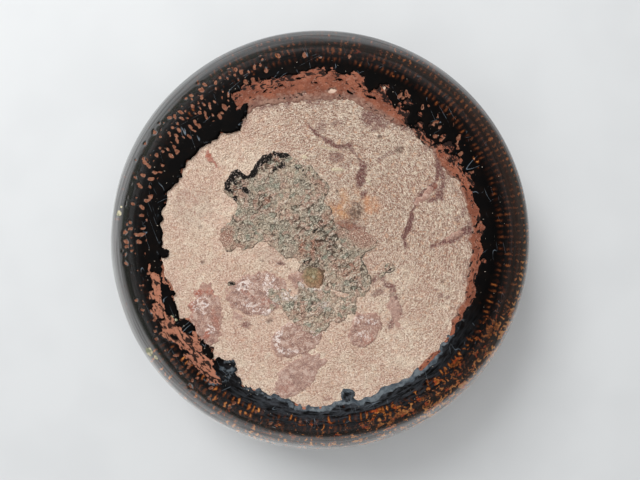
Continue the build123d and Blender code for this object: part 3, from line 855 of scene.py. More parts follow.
# the black lacquer outside, with its strokes
outerLacquer = {
    "segments": 800,
    # rings of the outer sheet from the worn edge on: length, spacing
    "stretches": ((17, 0.45), (9, 0.6), (18, 1.0), (54, 2.4)), "underRings": 8,
    "overlap": 2.2, "tornReach": 6.5, "edgeDepth": 2.0, "goneDepth": 1.75, "chipDepth": 0.46,
    "flankWave": 0.03, "footWave": 0.04,
    "columnPitch": 2.7,
    "columns": 208, "rowStart": 0.8, "rowPitch": 6.4, "strokeHalfWidth": 0.8, "strokeHalfLength": 3.1,
    "smallReach": 86.0,                          # mm round the axis are counted this far out
    # small things stuck on or rubbed bright: angle, run, half width round, half length along, strength
    "curls": [
        (28, 71.6, 1.3, 0.8, 1), (26.4, 72.4, 0.6, 1.6, 1), (24.6, 71.4, 0.7, 0.9, 0.8),
        (62.5, 85.2, 2.4, 0.5, 1), (61.2, 86.6, 0.5, 1.3, 0.8), (306, 77, 1.5, 1.6, 0.9),
        (307.5, 83.5, 1.9, 1.4, 1), (287, 77, 1.2, 1.4, 0.9), (297, 85, 1.5, 1.2, 0.9),
        (320, 77, 0.8, 1.9, 0.9), (66, 74.5, 0.9, 0.9, 0.7),
    ],
    "daubs": [
        (213.2, 93.5, 2.4, 5.0, 1), (215.6, 90.5, 1.4, 2.0, 0.9), (172.4, 91.5, 1.5, 3.2, 1),
        (170.6, 90.0, 0.8, 1.6, 0.9), (207.5, 68.5, 1.1, 1.2, 0.9), (209.0, 67.3, 0.8, 0.8, 0.8),
    ],
    # how strongly the amber strokes stand out: on the inner rows and on the outer rows
    "innerStrokes": [
        (0, 0.5), (30, 0.5), (50, 0.5), (75, 0.4), (100, 0.36), (125, 0.25), (150, 0.15), (180, 0.12),
        (210, 0.2), (235, 0.45), (255, 0.55), (275, 0.5), (300, 0.75), (320, 0.75), (340, 0.6),
    ],
    "outerStrokes": [
        (0, 1.0), (30, 0.95), (50, 0.85), (75, 0.5), (100, 0.35), (125, 0.28), (150, 0.2), (180, 0.18),
        (210, 0.3), (235, 0.6), (255, 0.8), (275, 0.65), (300, 0.85), (320, 0.95), (340, 0.95),
    ],
    # painted sheen: how strongly the lacquer's worn edge shows a pale blue-grey reflection, round the axis
    "paintedSheenRim": [
        (0, 0), (118, 0), (128, 0.03), (140, 0.06), (160, 0.05), (180, 0.06), (200, 0), (228, 0),
        (234, 0.35), (240, 0.15), (250, 0.4), (258, 0.55), (268, 0.65), (276, 0.7), (306, 0.8), (316, 0.6),
        (326, 0.3), (335, 0.08), (345, 0),
    ],
    # a dull grey bloom over the foot's edge, with painted sheen
    "bloom": [
        (0, 0), (230, 0), (238, 0.3), (250, 0.75), (262, 0.9), (275, 0.95), (300, 0.85), (314, 0.55),
        (328, 0.2), (338, 0),
    ],
    # brown haze between the strokes
    "haze": [
        (0, 0.9), (35, 0.7), (55, 0.4), (75, 0.2), (100, 0.05), (220, 0.05), (250, 0.35), (290, 0.55),
        (320, 0.9),
    ],
    # how bright the strokes are: on the inner rows and on the outer rows
    "innerGlow": [
        (0, 0.5), (30, 0.52), (60, 0.6), (90, 0.7), (125, 0.85), (180, 0.9), (230, 1.0), (290, 1.0),
        (315, 0.95), (335, 0.75),
    ],
    "outerGlow": [
        (0, 0.85), (22, 0.7), (45, 0.56), (75, 0.7), (100, 0.8), (150, 0.9), (200, 0.95), (240, 1.2),
        (280, 1.5), (315, 1.65), (335, 1.4),
    ],
    "blotsFrom": [
        (0, 84), (60, 80), (80, 76), (230, 80), (260, 77), (283, 73), (300, 73), (310, 74), (320, 75),
        (340, 76),
    ],
    "blots": [
        (0, 0.1), (40, 0.15), (80, 0.3), (100, 0.2), (150, 0), (200, 0), (230, 0.3), (260, 0.45),
        (282, 0.5), (300, 0.85), (315, 1.0), (335, 0.7), (350, 0.2),
    ],
}


def lacquerFinish():
    # black varnish with amber strokes. One stroke stands in each cell of the columns round the axis and the
    # rows along the section, nudged, sized and lit by its cell's random numbers. Blots, haze, a grey bloom
    # with painted sheen, chips, scratches, painted sheen along the worn edge and specks lie over them, and
    # only the flank is glossy
    o = outerLacquer
    f = Finish("blackLacquer")
    place = f.millimetres()
    x, y, z = f.split(place)
    turns, run = f.wrapped()
    strength, blot, rim = f.value("strokes"), f.value("blots"), f.value("rim")
    ragged = f.noise(place, 0.9, 3, 0.65)
    patchy = f.noise(place, 2.6, 3, 0.6)
    column = turns * o["columns"] + (f.noise(place, 3.2, 2, 0.5) - 0.5) * (0.7 + 1.8 * blot)
    row = (run - o["rowStart"]) / o["rowPitch"]
    row = row + (f.noise(f.millimetres((90, 40, 10)), 3.2, 2, 0.5) - 0.5) * (0.3 + 0.9 * blot)
    columnNumber, rowNumber = f.maths("FLOOR", column), f.maths("FLOOR", row)
    cell = f.join(f.maths("FLOORED_MODULO", columnNumber, o["columns"]), rowNumber, 0.0)
    draw = f.add("TexWhiteNoise", {"noise_dimensions": "2D"}, {"Vector": cell}, "Color")
    first, second, third = f.split(draw)
    across = (column - columnNumber - 0.5 + (first - 0.5) * 0.25) * o["columnPitch"]
    lengthwise = (row - rowNumber - 0.5 + (second - 0.5) * 0.2) * o["rowPitch"]
    size = 0.6 + 0.6 * third
    away = (across / o["strokeHalfWidth"]) ** 2.0 + (lengthwise / o["strokeHalfLength"] / size) ** 4.0
    stroke = f.step(1.45, 0.1, away ** 0.5 + (ragged - 0.5) * 1.9 + (patchy - 0.5) * 1.3)
    lit = f.step(0.0, 0.55, strength * 1.35 - first * 0.75 - 0.08 + (patchy - 0.5) * 1.6 - 0.3 * blot)
    shell = f.noise(f.millimetres((15, 60, 0)), 4.4, 3, 0.6, 0.3)
    blotch = f.step(0.53, 0.6, shell + 0.1 * (blot - 0.75) + 0.24 * (ragged - 0.5)) * f.step(0.15, 0.6, blot)
    curl = f.value("curls") * f.step(0.35, 0.5, ragged)
    gold = f.maths("MAXIMUM", stroke * lit, blotch * (0.3 + 0.9 * ragged))
    gold = f.maths("MAXIMUM", gold, curl)
    tone = gold * (0.5 + 0.75 * ragged + 0.4 * (second - 0.5)) * f.value("glow")
    tone = f.maths("MAXIMUM", tone, curl * 0.85)
    faint = stroke * 0.46 * f.step(0.25, 0.6, f.noise(place, 6.0, 2)) * f.step(72.0, 76.0, run)
    faint = faint * f.step(0.1, 0.4, strength)
    amber = f.add("ValToRGB", {"stops": [
        (0.0, colour(10, 9, 9)), (0.22, colour(42, 20, 12)), (0.45, colour(92, 50, 27)),
        (0.68, colour(156, 90, 42)), (1.0, colour(214, 148, 84))]}, {"Fac": f.maths("MAXIMUM", tone, faint)})
    haze = f.value("haze") * f.step(0.25, 0.6, patchy) * f.step(0.4, 0.0, tone)
    scuff = f.noise(f.join(turns * 90.0, 7.0, run / 1.3), 1.0, 4, 0.65, 0.4)
    # a dull grey bloom with painted sheen, scuffed round the axis and kept off the strokes
    bloom = f.value("bloom") * f.step(0.36, 0.66, scuff) * f.step(0.5, 0.1, gold)
    # painted shade: a thin dark line part of the way round the flank, for a turned crease that the mesh does
    # not have
    creaseRun = 80.6 + 3.6 * f.step(0.03, 0.07, turns)
    creaseShade = f.step(0.42, 0.12, abs(run - creaseRun))
    creaseShade = creaseShade * (f.step(0.17, 0.16, turns) + f.step(0.965, 0.975, turns))
    chip = f.step(-0.06, 0.06, f.value("chip") + 0.12 * (ragged - 0.5))
    chipEdge = f.step(0.25, 0.1, f.value("chip")) * f.step(0.55, 0.68, patchy)
    rubbed = f.layers(
        f.blend(f.step(0.4, 0.6, f.noise(place, 1.1, 3)), colour(112, 69, 52), colour(136, 94, 74)),
        (chipEdge * 0.4, colour(170, 136, 118)))
    daub = f.step(0.3, 0.5, f.value("daubs") + 0.8 * (ragged - 0.5))
    # scratches: where a noise drawn out along one direction crosses its middle value
    hair = abs(f.noise(f.join(x + y * 0.35, y * 0.16 - x * 0.05, z * 0.2), 5.0, 1, 0.5) - 0.5)
    hairAcross = abs(f.noise(f.join(x * 0.14 + y * 0.05 + 50.0, y - x * 0.6, z * 0.2), 6.0, 1, 0.5) - 0.5)
    scratches = f.maths("MAXIMUM", f.step(0.006, 0.0, hair) * f.step(0.54, 0.62, f.noise(place, 8.0, 2)),
                        f.step(0.0055, 0.0, hairAcross) * f.step(0.55, 0.63, f.noise(place, 7.0, 2)))
    scratches = scratches * f.step(90.0, 70.0, run)
    # painted sheen: a pale blue-grey reflection along the lacquer's worn edge, broken up by a noise
    paintedSheen = f.step(0.58, 0.76, rim * 0.5 + f.noise(place, 2.2, 4, 0.7)) * f.step(0.01, 0.06, rim)
    speck = f.step(0.77, 0.8, f.noise(place, 0.8, 1)) * f.step(100.0, 70.0, run)
    black = f.layers(
        amber,
        (blotch * f.step(0.5, 0.62, f.noise(place, 3.4, 2)) * 0.7, colour(168, 62, 30)),
        (f.step(0.4, 0.75, f.noise(place, 4.0, 3)) * 0.4 * f.step(0.3, 0.0, gold), colour(24, 16, 12)),
        (haze * 0.85, colour(60, 30, 16)),
        # grey bloom and painted sheen
        (bloom * 0.9, colour(71, 74, 79)),
        # painted shade of the turned crease
        (creaseShade * 0.8, colour(6, 6, 7)),
        (chip, rubbed),
        (daub, f.blend(f.step(0.45, 0.55, patchy), colour(196, 186, 156), colour(128, 132, 108))),
        (scratches * 0.6, colour(132, 144, 154)),
        # painted sheen along the worn edge
        (paintedSheen * 0.85, f.blend(f.step(0.35, 0.65, patchy), colour(64, 72, 79), colour(108, 115, 120))),
        (speck * 0.8, colour(205, 190, 172)))
    smear = f.noise(f.join(turns * 16.0, 3.0, run / 2.2), 1.0, 3, 0.6)
    varnish = f.step(73.0, 83.0, run + 6.0 * (smear - 0.5)) * (0.62 + 0.38 * f.step(0.38, 0.6, smear))
    gloss = varnish * (1 - 0.6 * scratches) * (1 - 0.9 * f.maths("MAXIMUM", chip, daub))
    height = gold * 0.4 + ragged * 0.1 - scratches * 0.6
    return f.done(Base_Color=black, Roughness=0.55, Specular_IOR_Level=0.02, Coat_Weight=gloss,
                  Coat_Roughness=0.1, Coat_IOR=1.6, Normal=f.bump(height, 0.08, 0.5))


def makeOuterLacquer():
    # two sheets from the worn edge to the lip band. The outer one lies on the finished surface with faint
    # waves, goes down to the ground coat in each chip, and dips below it past a bevel where it is gone
    o = outerLacquer
    angle = fullTurn(o["segments"])
    degrees = np.degrees(angle)
    brick = roundTable(worn["brickWidth"], degrees)
    start = roundTable(worn["woodEdge"], degrees) + np.maximum(brick - o["tornReach"], 0) - o["overlap"]
    start = start - roundTable(worn["nubs"], degrees)
    run, under = coatRuns(start, outerBandRun, o["stretches"], o["underRings"])
    cover, chip = lacquerCover(run, angle), chipDistance(run, angle)
    sunk = 1 - smoothStep(-0.35, 1, cover / roundTable(worn["bevel"], degrees))
    depth = np.maximum(o["goneDepth"] * sunk ** 1.6, o["chipDepth"] * smoothStep(-0.3, 0.3, chip))
    x, y = run * np.cos(angle), run * np.sin(angle)
    onFlank = smoothStep(66, 74, run)
    depth = depth + o["flankWave"] * onFlank * (1 + fractal(81, 3, run / 4.5, angle * 2.0))
    depth = depth + o["footWave"] * (1 - onFlank) * (1 + fractal(82, 3, x / 2.5, y / 2.5))
    underDepth = np.maximum(bowl["groundDepth"] + 0.05, o["edgeDepth"] * (under < start + 0.1))
    rings = np.concatenate([onBowl(under, angle, underDepth), onBowl(run, angle, depth)])
    outer = smoothStep(84, 93, run)                 # 0 on the inner rows of strokes, 1 on the outer ones
    inner = 1 - outer
    strokes = inner * roundTable(o["innerStrokes"], degrees) + outer * roundTable(o["outerStrokes"], degrees)
    patchy = smoothStep(-0.5, 0.5, fractal(83, 2, angle * 9.0, run / 7.0))
    blots = roundTable(o["blots"], degrees) * smoothStep(-1.5, 2.0, run - roundTable(o["blotsFrom"], degrees))
    nearEdge = 1 - smoothStep(1.5, 2.4, cover + 0.5 * fractal(85, 2, angle * 20.0, run / 3.0))
    values = {
        "strokes": strokes * smoothStep(70, 76, run) * (0.75 + 0.5 * patchy),
        "blots": blots * (1 - 0.75 * smoothStep(108, 118, run)),
        # painted sheen along the lacquer's worn edge
        "rim": nearEdge * roundTable(o["paintedSheenRim"], degrees),
        # grey bloom with painted sheen over the foot's edge
        "bloom": (1 - smoothStep(72, 84, run)) * roundTable(o["bloom"], degrees),
        "glow": inner * roundTable(o["innerGlow"], degrees) + outer * roundTable(o["outerGlow"], degrees),
        "haze": roundTable(o["haze"], degrees) * smoothStep(77, 89, run),
        "chip": np.where(cover > 0.3, np.maximum(chip, -1), -1),
    }
    for key in ("curls", "daubs"):
        ovals = [(math.radians(turn) * o["smallReach"], away, around, along, 0, strength)
                 for turn, away, around, along, strength in o[key]]
        values[key] = spots(angle * o["smallReach"], run, ovals, 0.5, 0.3, 84, 0.8)
    turnedPiece("outerLacquer", rings, bothSheets(under, run, values), lacquerFinish(),
                "outer_lacquer", run=np.concatenate([under, run]), atAxis=False)


lipBand = {
    "segments": 360, "rings": 46, "underRings": 24,
    "sunk": 0.02,                               # below the finished surface
    "lineRun": 1.0, "lineHalfWidth": 0.45,      # the red line, counted from the band's edge outside
}


def bandFinish():
    # near-black lacquer with one thin red line round it, rubbed in places
    f = Finish("bandLacquer")
    place = f.millimetres()
    _, run = f.wrapped()
    rubbed = f.noise(place, 1.6, 4, 0.65)
    half = lipBand["lineHalfWidth"]
    line = f.step(half + 0.1, half - 0.1, abs(run - (outerBandRun + lipBand["lineRun"])))
    tint = f.layers(
        f.blend(f.step(0.4, 0.65, f.noise(place, 6, 3)), colour(18, 15, 14), colour(30, 20, 17)),
        (line * f.step(0.3, 0.5, rubbed), colour(150, 52, 30)),
        (f.step(0.64, 0.7, rubbed) * 0.8, colour(166, 92, 66)))
    return f.done(Base_Color=tint, Roughness=0.16 + 0.3 * f.step(0.55, 0.7, rubbed), IOR=1.5,
                  Normal=f.bump(rubbed, 0.06, 0.4))


def makeLipBand():
    # one loop of rings: round the lip just below the finished surface, and back at the ground coat's depth
    angle = fullTurn(lipBand["segments"])
    run = np.linspace(outerBandRun, innerBandRun, lipBand["rings"])[:, None]
    under = np.linspace(innerBandRun, outerBandRun, lipBand["underRings"])[:, None]
    rings = np.concatenate([onBowl(run, angle, lipBand["sunk"]), onBowl(under, angle, bowl["groundDepth"])])
    turnedPiece("lipBand", rings, {}, bandFinish(), "lip_band",
                run=np.concatenate([run, under]), atAxis=False)


innerLacquer = {
    "segments": 320, "rings": 90, "underRings": 30,
    # dark lines round the inside: mm in from the lip band, half width
    "lines": [(12, 0.9), (15, 0.35), (128, 0.5), (131, 1.2)],
}


def goldFinish():
    # warm gold in soft clouds, worn brown in places, with the dark lines turned round it
    f = Finish("goldLacquer")
    place = f.millimetres()
    _, run = f.wrapped()
    brushed = f.noise(place, 3.0, 4, 0.6)
    wear = f.step(0.62, 0.68, f.noise(place, 5.0, 5, 0.7))
    lines = [(f.step(half + 0.15, half - 0.15, abs(run - (innerBandRun + back))), colour(20, 16, 14))
             for back, half in innerLacquer["lines"]]
    gold = f.layers(
        f.blend(f.step(0.35, 0.65, f.noise(place, 18, 3)), colour(176, 112, 34), colour(206, 146, 56)),
        (f.step(0.5, 0.7, brushed) * 0.5, colour(226, 176, 88)),
        (wear * 0.7, colour(120, 60, 30)),
        *lines)
    return f.done(Base_Color=gold, Roughness=0.2 + 0.25 * wear, Metallic=0.35, IOR=1.5,
                  Normal=f.bump(brushed, 0.08, 0.4))


def makeInnerLacquer():
    # rings on the finished surface from the lip band to the floor's centre, and others under them at the
    # ground coat's depth, each closed at the axis
    angle = fullTurn(innerLacquer["segments"])
    run = np.linspace(innerBandRun, innerEnd, innerLacquer["rings"])[:, None]
    under = np.linspace(innerEnd, innerBandRun, innerLacquer["underRings"])[:, None]
    rings = np.concatenate([onBowl(under, angle, bowl["groundDepth"]), onBowl(run, angle, 0.0)])
    turnedPiece("innerLacquer", rings, {}, goldFinish(), "inner_lacquer",
                run=np.concatenate([under, run]))


def flatGrid(lowX, highX, lowY, highY, spacing):
    # a square grid of points over a rectangle of the foot
    return np.meshgrid(np.arange(lowX, highX, spacing), np.arange(lowY, highY, spacing))


woodLevel = bowl["height"] - bowl["woodDepth"]
filmBottom = woodLevel - 0.9

knot = {"centre": (-2.7, -15.1), "radius": 4.5, "spacing": 0.3, "depth": 6.0, "sunkEdge": 0.35}


def knotInside(x, y):
    # mm inside the knot's uneven round outline
    cx, cy = knot["centre"]
    reach = np.hypot((x - cx) * 0.9, (y - cy) * 0.97)
    return knot["radius"] - reach + 1.9 * fractal(131, 3, x / 2.6, y / 2.6)


# old grime and charred lacquer stuck to the worn foot, each outline as (x, y)
crust = {
    "spacing": 0.37, "ragged": 1.1, "highest": 1.14,
    "swellSize": 3.6, "blisterSize": 2.1, "crumbSize": 0.95,
    "least": 0.12, "lowest": 0.16, "blisterHeight": 0.55, "crumbHeight": 0.2, "swellHeight": 0.5,
    "cinderHeight": 0.34, "waveHeight": 0.14, "rimHeight": 0.14, "sunkEdge": 0.45,
    "outline": [
        (-30.3, 26.9), (-27.2, 29.7), (-26.3, 32.1), (-23.4, 34.7), (-19.7, 35.9), (-15.0, 35.9),
        (-11.2, 34.4), (-7.5, 31.6), (-3.2, 30.2), (-0.9, 26.9), (1.9, 24.1), (3.8, 21.3), (2.4, 18.0),
        (1.7, 15.7), (4.3, 14.2), (5.2, 10.5), (7.2, 6.6), (12.3, 4.2), (17.4, 4.6), (22.4, 1.1),
        (23.2, -2.4), (18.4, -5.0), (17.9, -8.3), (20.4, -13.0), (21.4, -18.0), (16.9, -23.4),
        (10.8, -22.0), (4.0, -19.8), (1.2, -17.5), (-2.7, -15.1), (-8.3, -13.6), (-8.6, -10.2),
        (-10.2, -7.4), (-12.6, -7.4), (-15.5, -6.6), (-19.7, -2.6), (-24.5, -1.0), (-28.0, -3.3),
        (-31.4, -4.5), (-33.8, -3.0), (-36.0, -4.6), (-39.4, -3.6), (-41.3, 0.2), (-40.4, 4.4),
        (-37.1, 7.7), (-35.0, 10.8), (-33.6, 14.2), (-35.2, 16.2), (-38.9, 19.9), (-38.3, 24.6),
        (-36.1, 27.9), (-32.8, 28.7),
    ],
    # parts as thin as a stain
    "thin": [
        (-39.0, 0.2, 4.5, 5.2, 10, 1), (-33.5, -3.0, 3.5, 2.0, 0, 0.8), (17.5, 1.0, 9.0, 6.0, -10, 1),
        (9.5, 2.6, 4.5, 3.4, -20, 0.6), (-9.0, -7.0, 3.0, 2.0, 0, 0.6),
    ],
    "crumbs": [
        (-19.8, -18.6), (-14.7, -20.2), (-10.0, -20.6), (-8.6, -17.6), (-4.0, -18.6), (0.6, -18.2),
        (5.7, -20.4), (14.6, -22.6), (15.0, -29.0), (8.2, -34.6), (2.6, -36.8), (-1.4, -40.4),
        (-7.5, -38.7), (-10.6, -34.6), (-15.7, -33.4), (-16.9, -27.5), (-21.0, -29.5), (-22.6, -23.5),
    ],
    "lumps": [(28.6, -11.6, 2.3, 2.0, 30), (25.6, -14.3, 2.2, 0.8, 45), (-36.2, -18.0, 1.5, 1.2, 0)],
    "blistered": [
        (2, 1, 15, 10, -35, 1.0), (-19, 33, 13, 4.5, 28, 0.9), (-36, 22, 6, 6, 0, 0.9),
        (-24, 16, 7, 5, -20, 0.9), (14, -19, 7, 4, -40, 0.7), (-8, 10, 10, 7, -30, 0.6),
        (-3, -29, 17, 8, 0, 0.55), (-4, -7, 8, 5, -20, 0.9),
    ],
    "charred": [
        (-2, 4.2, 3.4, 1.2, 50, 0.4), (4.2, 0.5, 1.8, 1.2, 0, 0.5), (-6, -8.5, 2.5, 1.2, 60, 0.45),
        (-30.5, 20.5, 4.6, 1.5, -30, 0.7), (-35.5, 16.5, 3.0, 1.8, 20, 0.8), (-17, 30.0, 5.0, 1.6, 30, 0.6),
        (28.6, -11.6, 2.0, 1.4, 30, 0.6), (-36.2, -18, 1.5, 1.2, 0, 0.8), (-9, 29, 3.5, 1.4, -20, 0.5),
    ],
    # where the rim of the crust is black: centre, half length, half width, turn, strength
    "blackRim": [
        (-35.5, 25.0, 8.0, 6.5, 60, 1), (-24, 33.5, 6.5, 5.5, 30, 1), (-28.5, 28.5, 5.0, 4.0, 45, 1),
        (-15.5, 36.0, 6.0, 3.4, 0, 0.9),
    ],
    "reddish": [
        (-22.5, 16.2, 2.6, 2.2, 20, 1), (-34, 20.5, 2.6, 1.7, 30, 0.8), (-30.5, 23.5, 1.8, 1.4, 0, 0.7),
        (16.5, 2.0, 6.5, 4.5, -15, 0.75), (-5, -3, 6.5, 5.5, -20, 1.0), (9, 7, 5, 3, -40, 0.5),
        (3, 8, 5, 3, -40, 0.6), (-38, 3, 3, 5.5, 10, 0.7), (-33, -2.5, 5, 2.2, -10, 0.5),
        (-1, 23, 3, 5, 30, 0.4), (3, 17, 2.5, 4, 20, 0.5), (-8, -28, 6, 3, 10, 0.5),
        (2, -34, 4, 2.5, 30, 0.4), (11, -12, 7.5, 5, -20, 0.8),
    ],
    "green": [
        (-20, 24, 6, 4, 20, 0.8), (-22, 7, 8, 5, 0, 0.4), (-12, -3.5, 5, 4, 20, 0.9),
        (-30, 4, 5, 4, 0, 0.6), (-1, 14, 4, 3, 0, 0.7), (-27, -4.5, 3.5, 2.2, 0, 0.7),
        (10, -19.5, 5, 3, -30, 0.6), (4, 2, 3, 2.5, 0, 0.6), (3, 24, 1.8, 1.8, 0, 0.5),
    ],
    "white": [
        (-13, -22.5, 5, 3.4, 0, 1), (-4, -18.5, 6.5, 2.6, -10, 1), (-18, -26, 3, 3, 0, 0.9),
        (-16, -31, 3, 2, 0, 0.6), (2, -27, 5, 2, 0, 0.5),
    ],
}


def crustFinish():
    # each crumb has a tone and a hue of its own, from grey over buff to rust, under stains that the mesh
    # carries; then pale and dark grit, hair cracks, painted shade in the cracks, painted highlights on the
    # crumbs' lit sides, white flecks, and soot with painted glints
    f = Finish("grimeCrust")
    place = f.millimetres()
    blotch = f.noise(place, 3.2, 4, 0.65)
    broad = f.noise(place, 9.0, 3, 0.6)
    grit = f.noise(place, 0.5, 2, 0.7)
    flake = f.noise(place, 1.1, 3, 0.65, 0.4)
    char, hue = f.value("charred"), f.value("hue")
    soot = f.step(0.38, 0.62, char + 1.9 * (f.noise(place, 1.3, 3, 0.65) - 0.5)) * f.step(0.0, 0.15, char)
    tone = f.value("tone") + (f.noise(place, 0.8, 3, 0.65) - 0.5)
    crumb = f.layers(
        f.add("ValToRGB", {"stops": [
            (0.0, colour(126, 114, 100)), (0.28, colour(152, 144, 128)), (0.5, colour(176, 158, 138)),
            (0.75, colour(184, 150, 132)), (1.0, colour(228, 210, 188))]}, {"Fac": tone}),
        (f.step(0.42, 0.6, blotch) * 0.35, colour(180, 156, 136)),
        (f.step(0.5, 0.64, broad) * 0.4, colour(192, 174, 150)),
        (f.step(0.5, 0.36, broad) * 0.35, colour(138, 130, 114)),
        (f.step(0.36, 0.22, hue) * 0.7, colour(126, 136, 121)),
        (f.step(0.62, 0.7, hue) * 0.6, colour(178, 140, 124)),
        (f.step(0.82, 0.88, hue) * 0.6, colour(136, 88, 70)),
        (f.value("green") * 0.4, colour(134, 144, 130)),
        (f.value("reddish") * f.step(0.35, 0.55, blotch) * 0.8, colour(160, 106, 86)),
        (f.value("thin") * 0.8, colour(164, 124, 108)),
        (f.step(0.53, 0.68, grit) * 0.9, colour(240, 226, 206)),
        (f.step(0.47, 0.32, grit) * 0.9, colour(74, 59, 49)),
        (f.step(0.035, 0.0, abs(flake - 0.5)) * 0.55, colour(72, 56, 48)),
        # the cracks' own dark, with painted shade in them
        (f.step(0.15, 0.6, f.value("crevice") + 0.5 * (grit - 0.5)) * 0.85, colour(56, 43, 36)),
        # painted highlight on the crumbs' lit sides
        (f.step(0.2, 0.8, f.value("shine") + 0.6 * (grit - 0.5)) * 0.7, colour(232, 220, 202)),
        (f.value("white") * f.step(0.5, 0.58, f.noise(place, 0.9, 3, 0.6)), colour(228, 214, 206)),
        (soot * 0.98, colour(8, 7, 7)),
        # painted glints: pale specks on the soot
        (soot * f.step(0.58, 0.66, f.noise(place, 0.8, 2, 0.6)), colour(176, 158, 148)))
    return f.done(Base_Color=crumb, Roughness=0.75 - 0.25 * soot, Specular_IOR_Level=0.12,
                  Normal=f.bump(grit + flake, 0.5, 1.0))


def makeCrust():
    # a film that stands on the worn face. Swellings, blisters and crumbs are cells of three sizes with
    # wandering outlines, each as high as its own random number and low along its borders; a part as thin as
    # a stain is nearly flat, and the outline is a low raised rim
    c = crust
    x, y = flatGrid(-44, 33, -42, 40, c["spacing"])
    ragged = c["ragged"] * fractal(101, 3, x / 2.0, y / 2.0)
    crumbs = insideDistance(x, y, roundedOutline(c["crumbs"])) + 3.4 * fractal(102, 4, x / 2.8, y / 2.8) - 1.0
    inside = np.maximum.reduce([insideDistance(x, y, roundedOutline(c["outline"])) + ragged, crumbs,
                                ovalDistance(x, y, c["lumps"])[0] + 0.5 * ragged])
    inside = np.minimum(inside, -knotInside(x, y))
    blistered = spots(x, y, c["blistered"], 0.8, 0.3, 111, 3.0)
    thin = spots(x, y, c["thin"], 0.6, 0.3, 120, 2.0)
    broken = smoothStep(-0.55, 0.05, fractal(118, 2, x / 2.2, y / 2.2))
    rough = 0.7 + 0.3 * blistered
    warpX, warpY = 1.1 * fractal(103, 3, x / 2.6, y / 2.6), 1.1 * fractal(104, 3, x / 2.6, y / 2.6)
    first, second, big = cellNoise(105, (x + 2 * warpX) / c["swellSize"], (y + 2 * warpY) / c["swellSize"])
    swell = smoothStep(0.0, 0.35, second - first)
    first, second, owner = cellNoise(108, (x + warpX) / c["blisterSize"], (y + warpY) / c["blisterSize"])
    # facing is above 0 on the upper left side of each blister: the cracks there get painted shade, and the
    # crumbs on the lower right side get painted highlights
    slopeY, slopeX = np.gradient(first)
    facing = (slopeY * 0.8 - slopeX * 0.4) / np.maximum(np.hypot(slopeX, slopeY), 1e-6)
    gap = second - first
    blister, split = smoothStep(0.0, 0.4, gap), smoothStep(0.26, 0.06, gap)
    first, second, small = cellNoise(117, (x + warpX) / c["crumbSize"], (y + warpY) / c["crumbSize"])
    crumbGap = second - first
    crumb = smoothStep(0.0, 0.4, crumbGap)
    # burnt spots, the black rim on the upper left, and single burnt blisters near it
    rimReach = 2.7 + 2.4 * fractal(119, 3, x / 2.2, y / 2.2)
    blackRim = smoothStep(0.1, 0.5, spots(x, y, c["blackRim"], 0.8))
    blackRim = smoothStep(0.5, -0.5, inside - rimReach) * blackRim
    burnt = (np.mod(owner * 13.7, 1.0) < 0.42) * smoothStep(0.02, 0.2, gap)
    charred = np.maximum.reduce([spots(x, y, c["charred"], 0.5, 0.45, 112, 1.4), blackRim,
                                 0.75 * spots(x, y, c["blackRim"], 0.9) * burnt])
    height = (c["least"] + c["blisterHeight"] * blister * (0.3 + 0.7 * owner) * rough
              + c["crumbHeight"] * crumb * small + c["swellHeight"] * swell * big * blistered
              + c["cinderHeight"] * charred * crumb * (0.4 + 0.6 * small)
              + c["waveHeight"] * fractal(113, 3, x / 5.0, y / 5.0)) * (1 - 0.8 * thin)
    ring = smoothStep(1.4, 0.4, inside) * smoothStep(-0.2, 0.4, inside)
    height = height + c["rimHeight"] * ring * (1 - 0.5 * blistered)
    outlined = smoothStep(0.6, 0.1, inside) * smoothStep(-0.4, 0.2, inside)
    # cracks and painted shade: dark lines between blisters, between swellings, between crumbs and along the
    # outline, the blisters' ones stronger on their upper left side
    crevice = np.maximum.reduce([split * broken * rough * (0.35 + 0.65 * smoothStep(-0.3, 0.6, facing)),
                                 smoothStep(0.4, 0.05, swell) * blistered * broken,
                                 0.7 * (1 - crumb) * small * rough, 0.9 * outlined * broken * rough])
    # painted highlight: pale light along the crumbs' borders on the lower right side of each blister
    shine = smoothStep(0.35, 0.15, crumbGap) * smoothStep(0.1, -0.7, facing) * broken * rough * (1 - thin)
    relief, _ = woodRelief(x, y)
    shown = smoothStep(-0.55, 0.45, inside)
    top = woodLevel + relief * (1 - 0.6 * shown * (1 - thin)) - c["sunkEdge"] * (1 - shown)
    top = np.minimum(top + np.clip(height, c["lowest"], c["highest"]) * shown, bowl["height"] - 0.03)
    lower = smoothStep(-16.5, -20.0, y) * smoothStep(22, 16, x)
    cloud = 0.5 + fractal(127, 2, x / 7.0, y / 7.0)
    values = {
        "crevice": crevice * (1 - 0.7 * thin) * (1 - 0.3 * lower),
        "charred": charred,
        "shine": shine,
        "hue": 0.5 + (np.mod(owner * 7.3, 1.0) - 0.5) * (0.55 + 0.45 * blistered) * (1 - thin),
        "tone": 0.12 * lower + 0.45 * owner + 0.3 * small + 0.25 * cloud,
        "thin": thin,
        "reddish": spots(x, y, c["reddish"], 0.6, 0.4, 114),
        "green": spots(x, y, c["green"], 0.6, 0.4, 115),
        "white": spots(x, y, c["white"], 0.6, 0.4, 116),
    }
    filmPiece("baseCrust", x, y, top, filmBottom, inside > -0.9, values, crustFinish(),
              "base_crust")


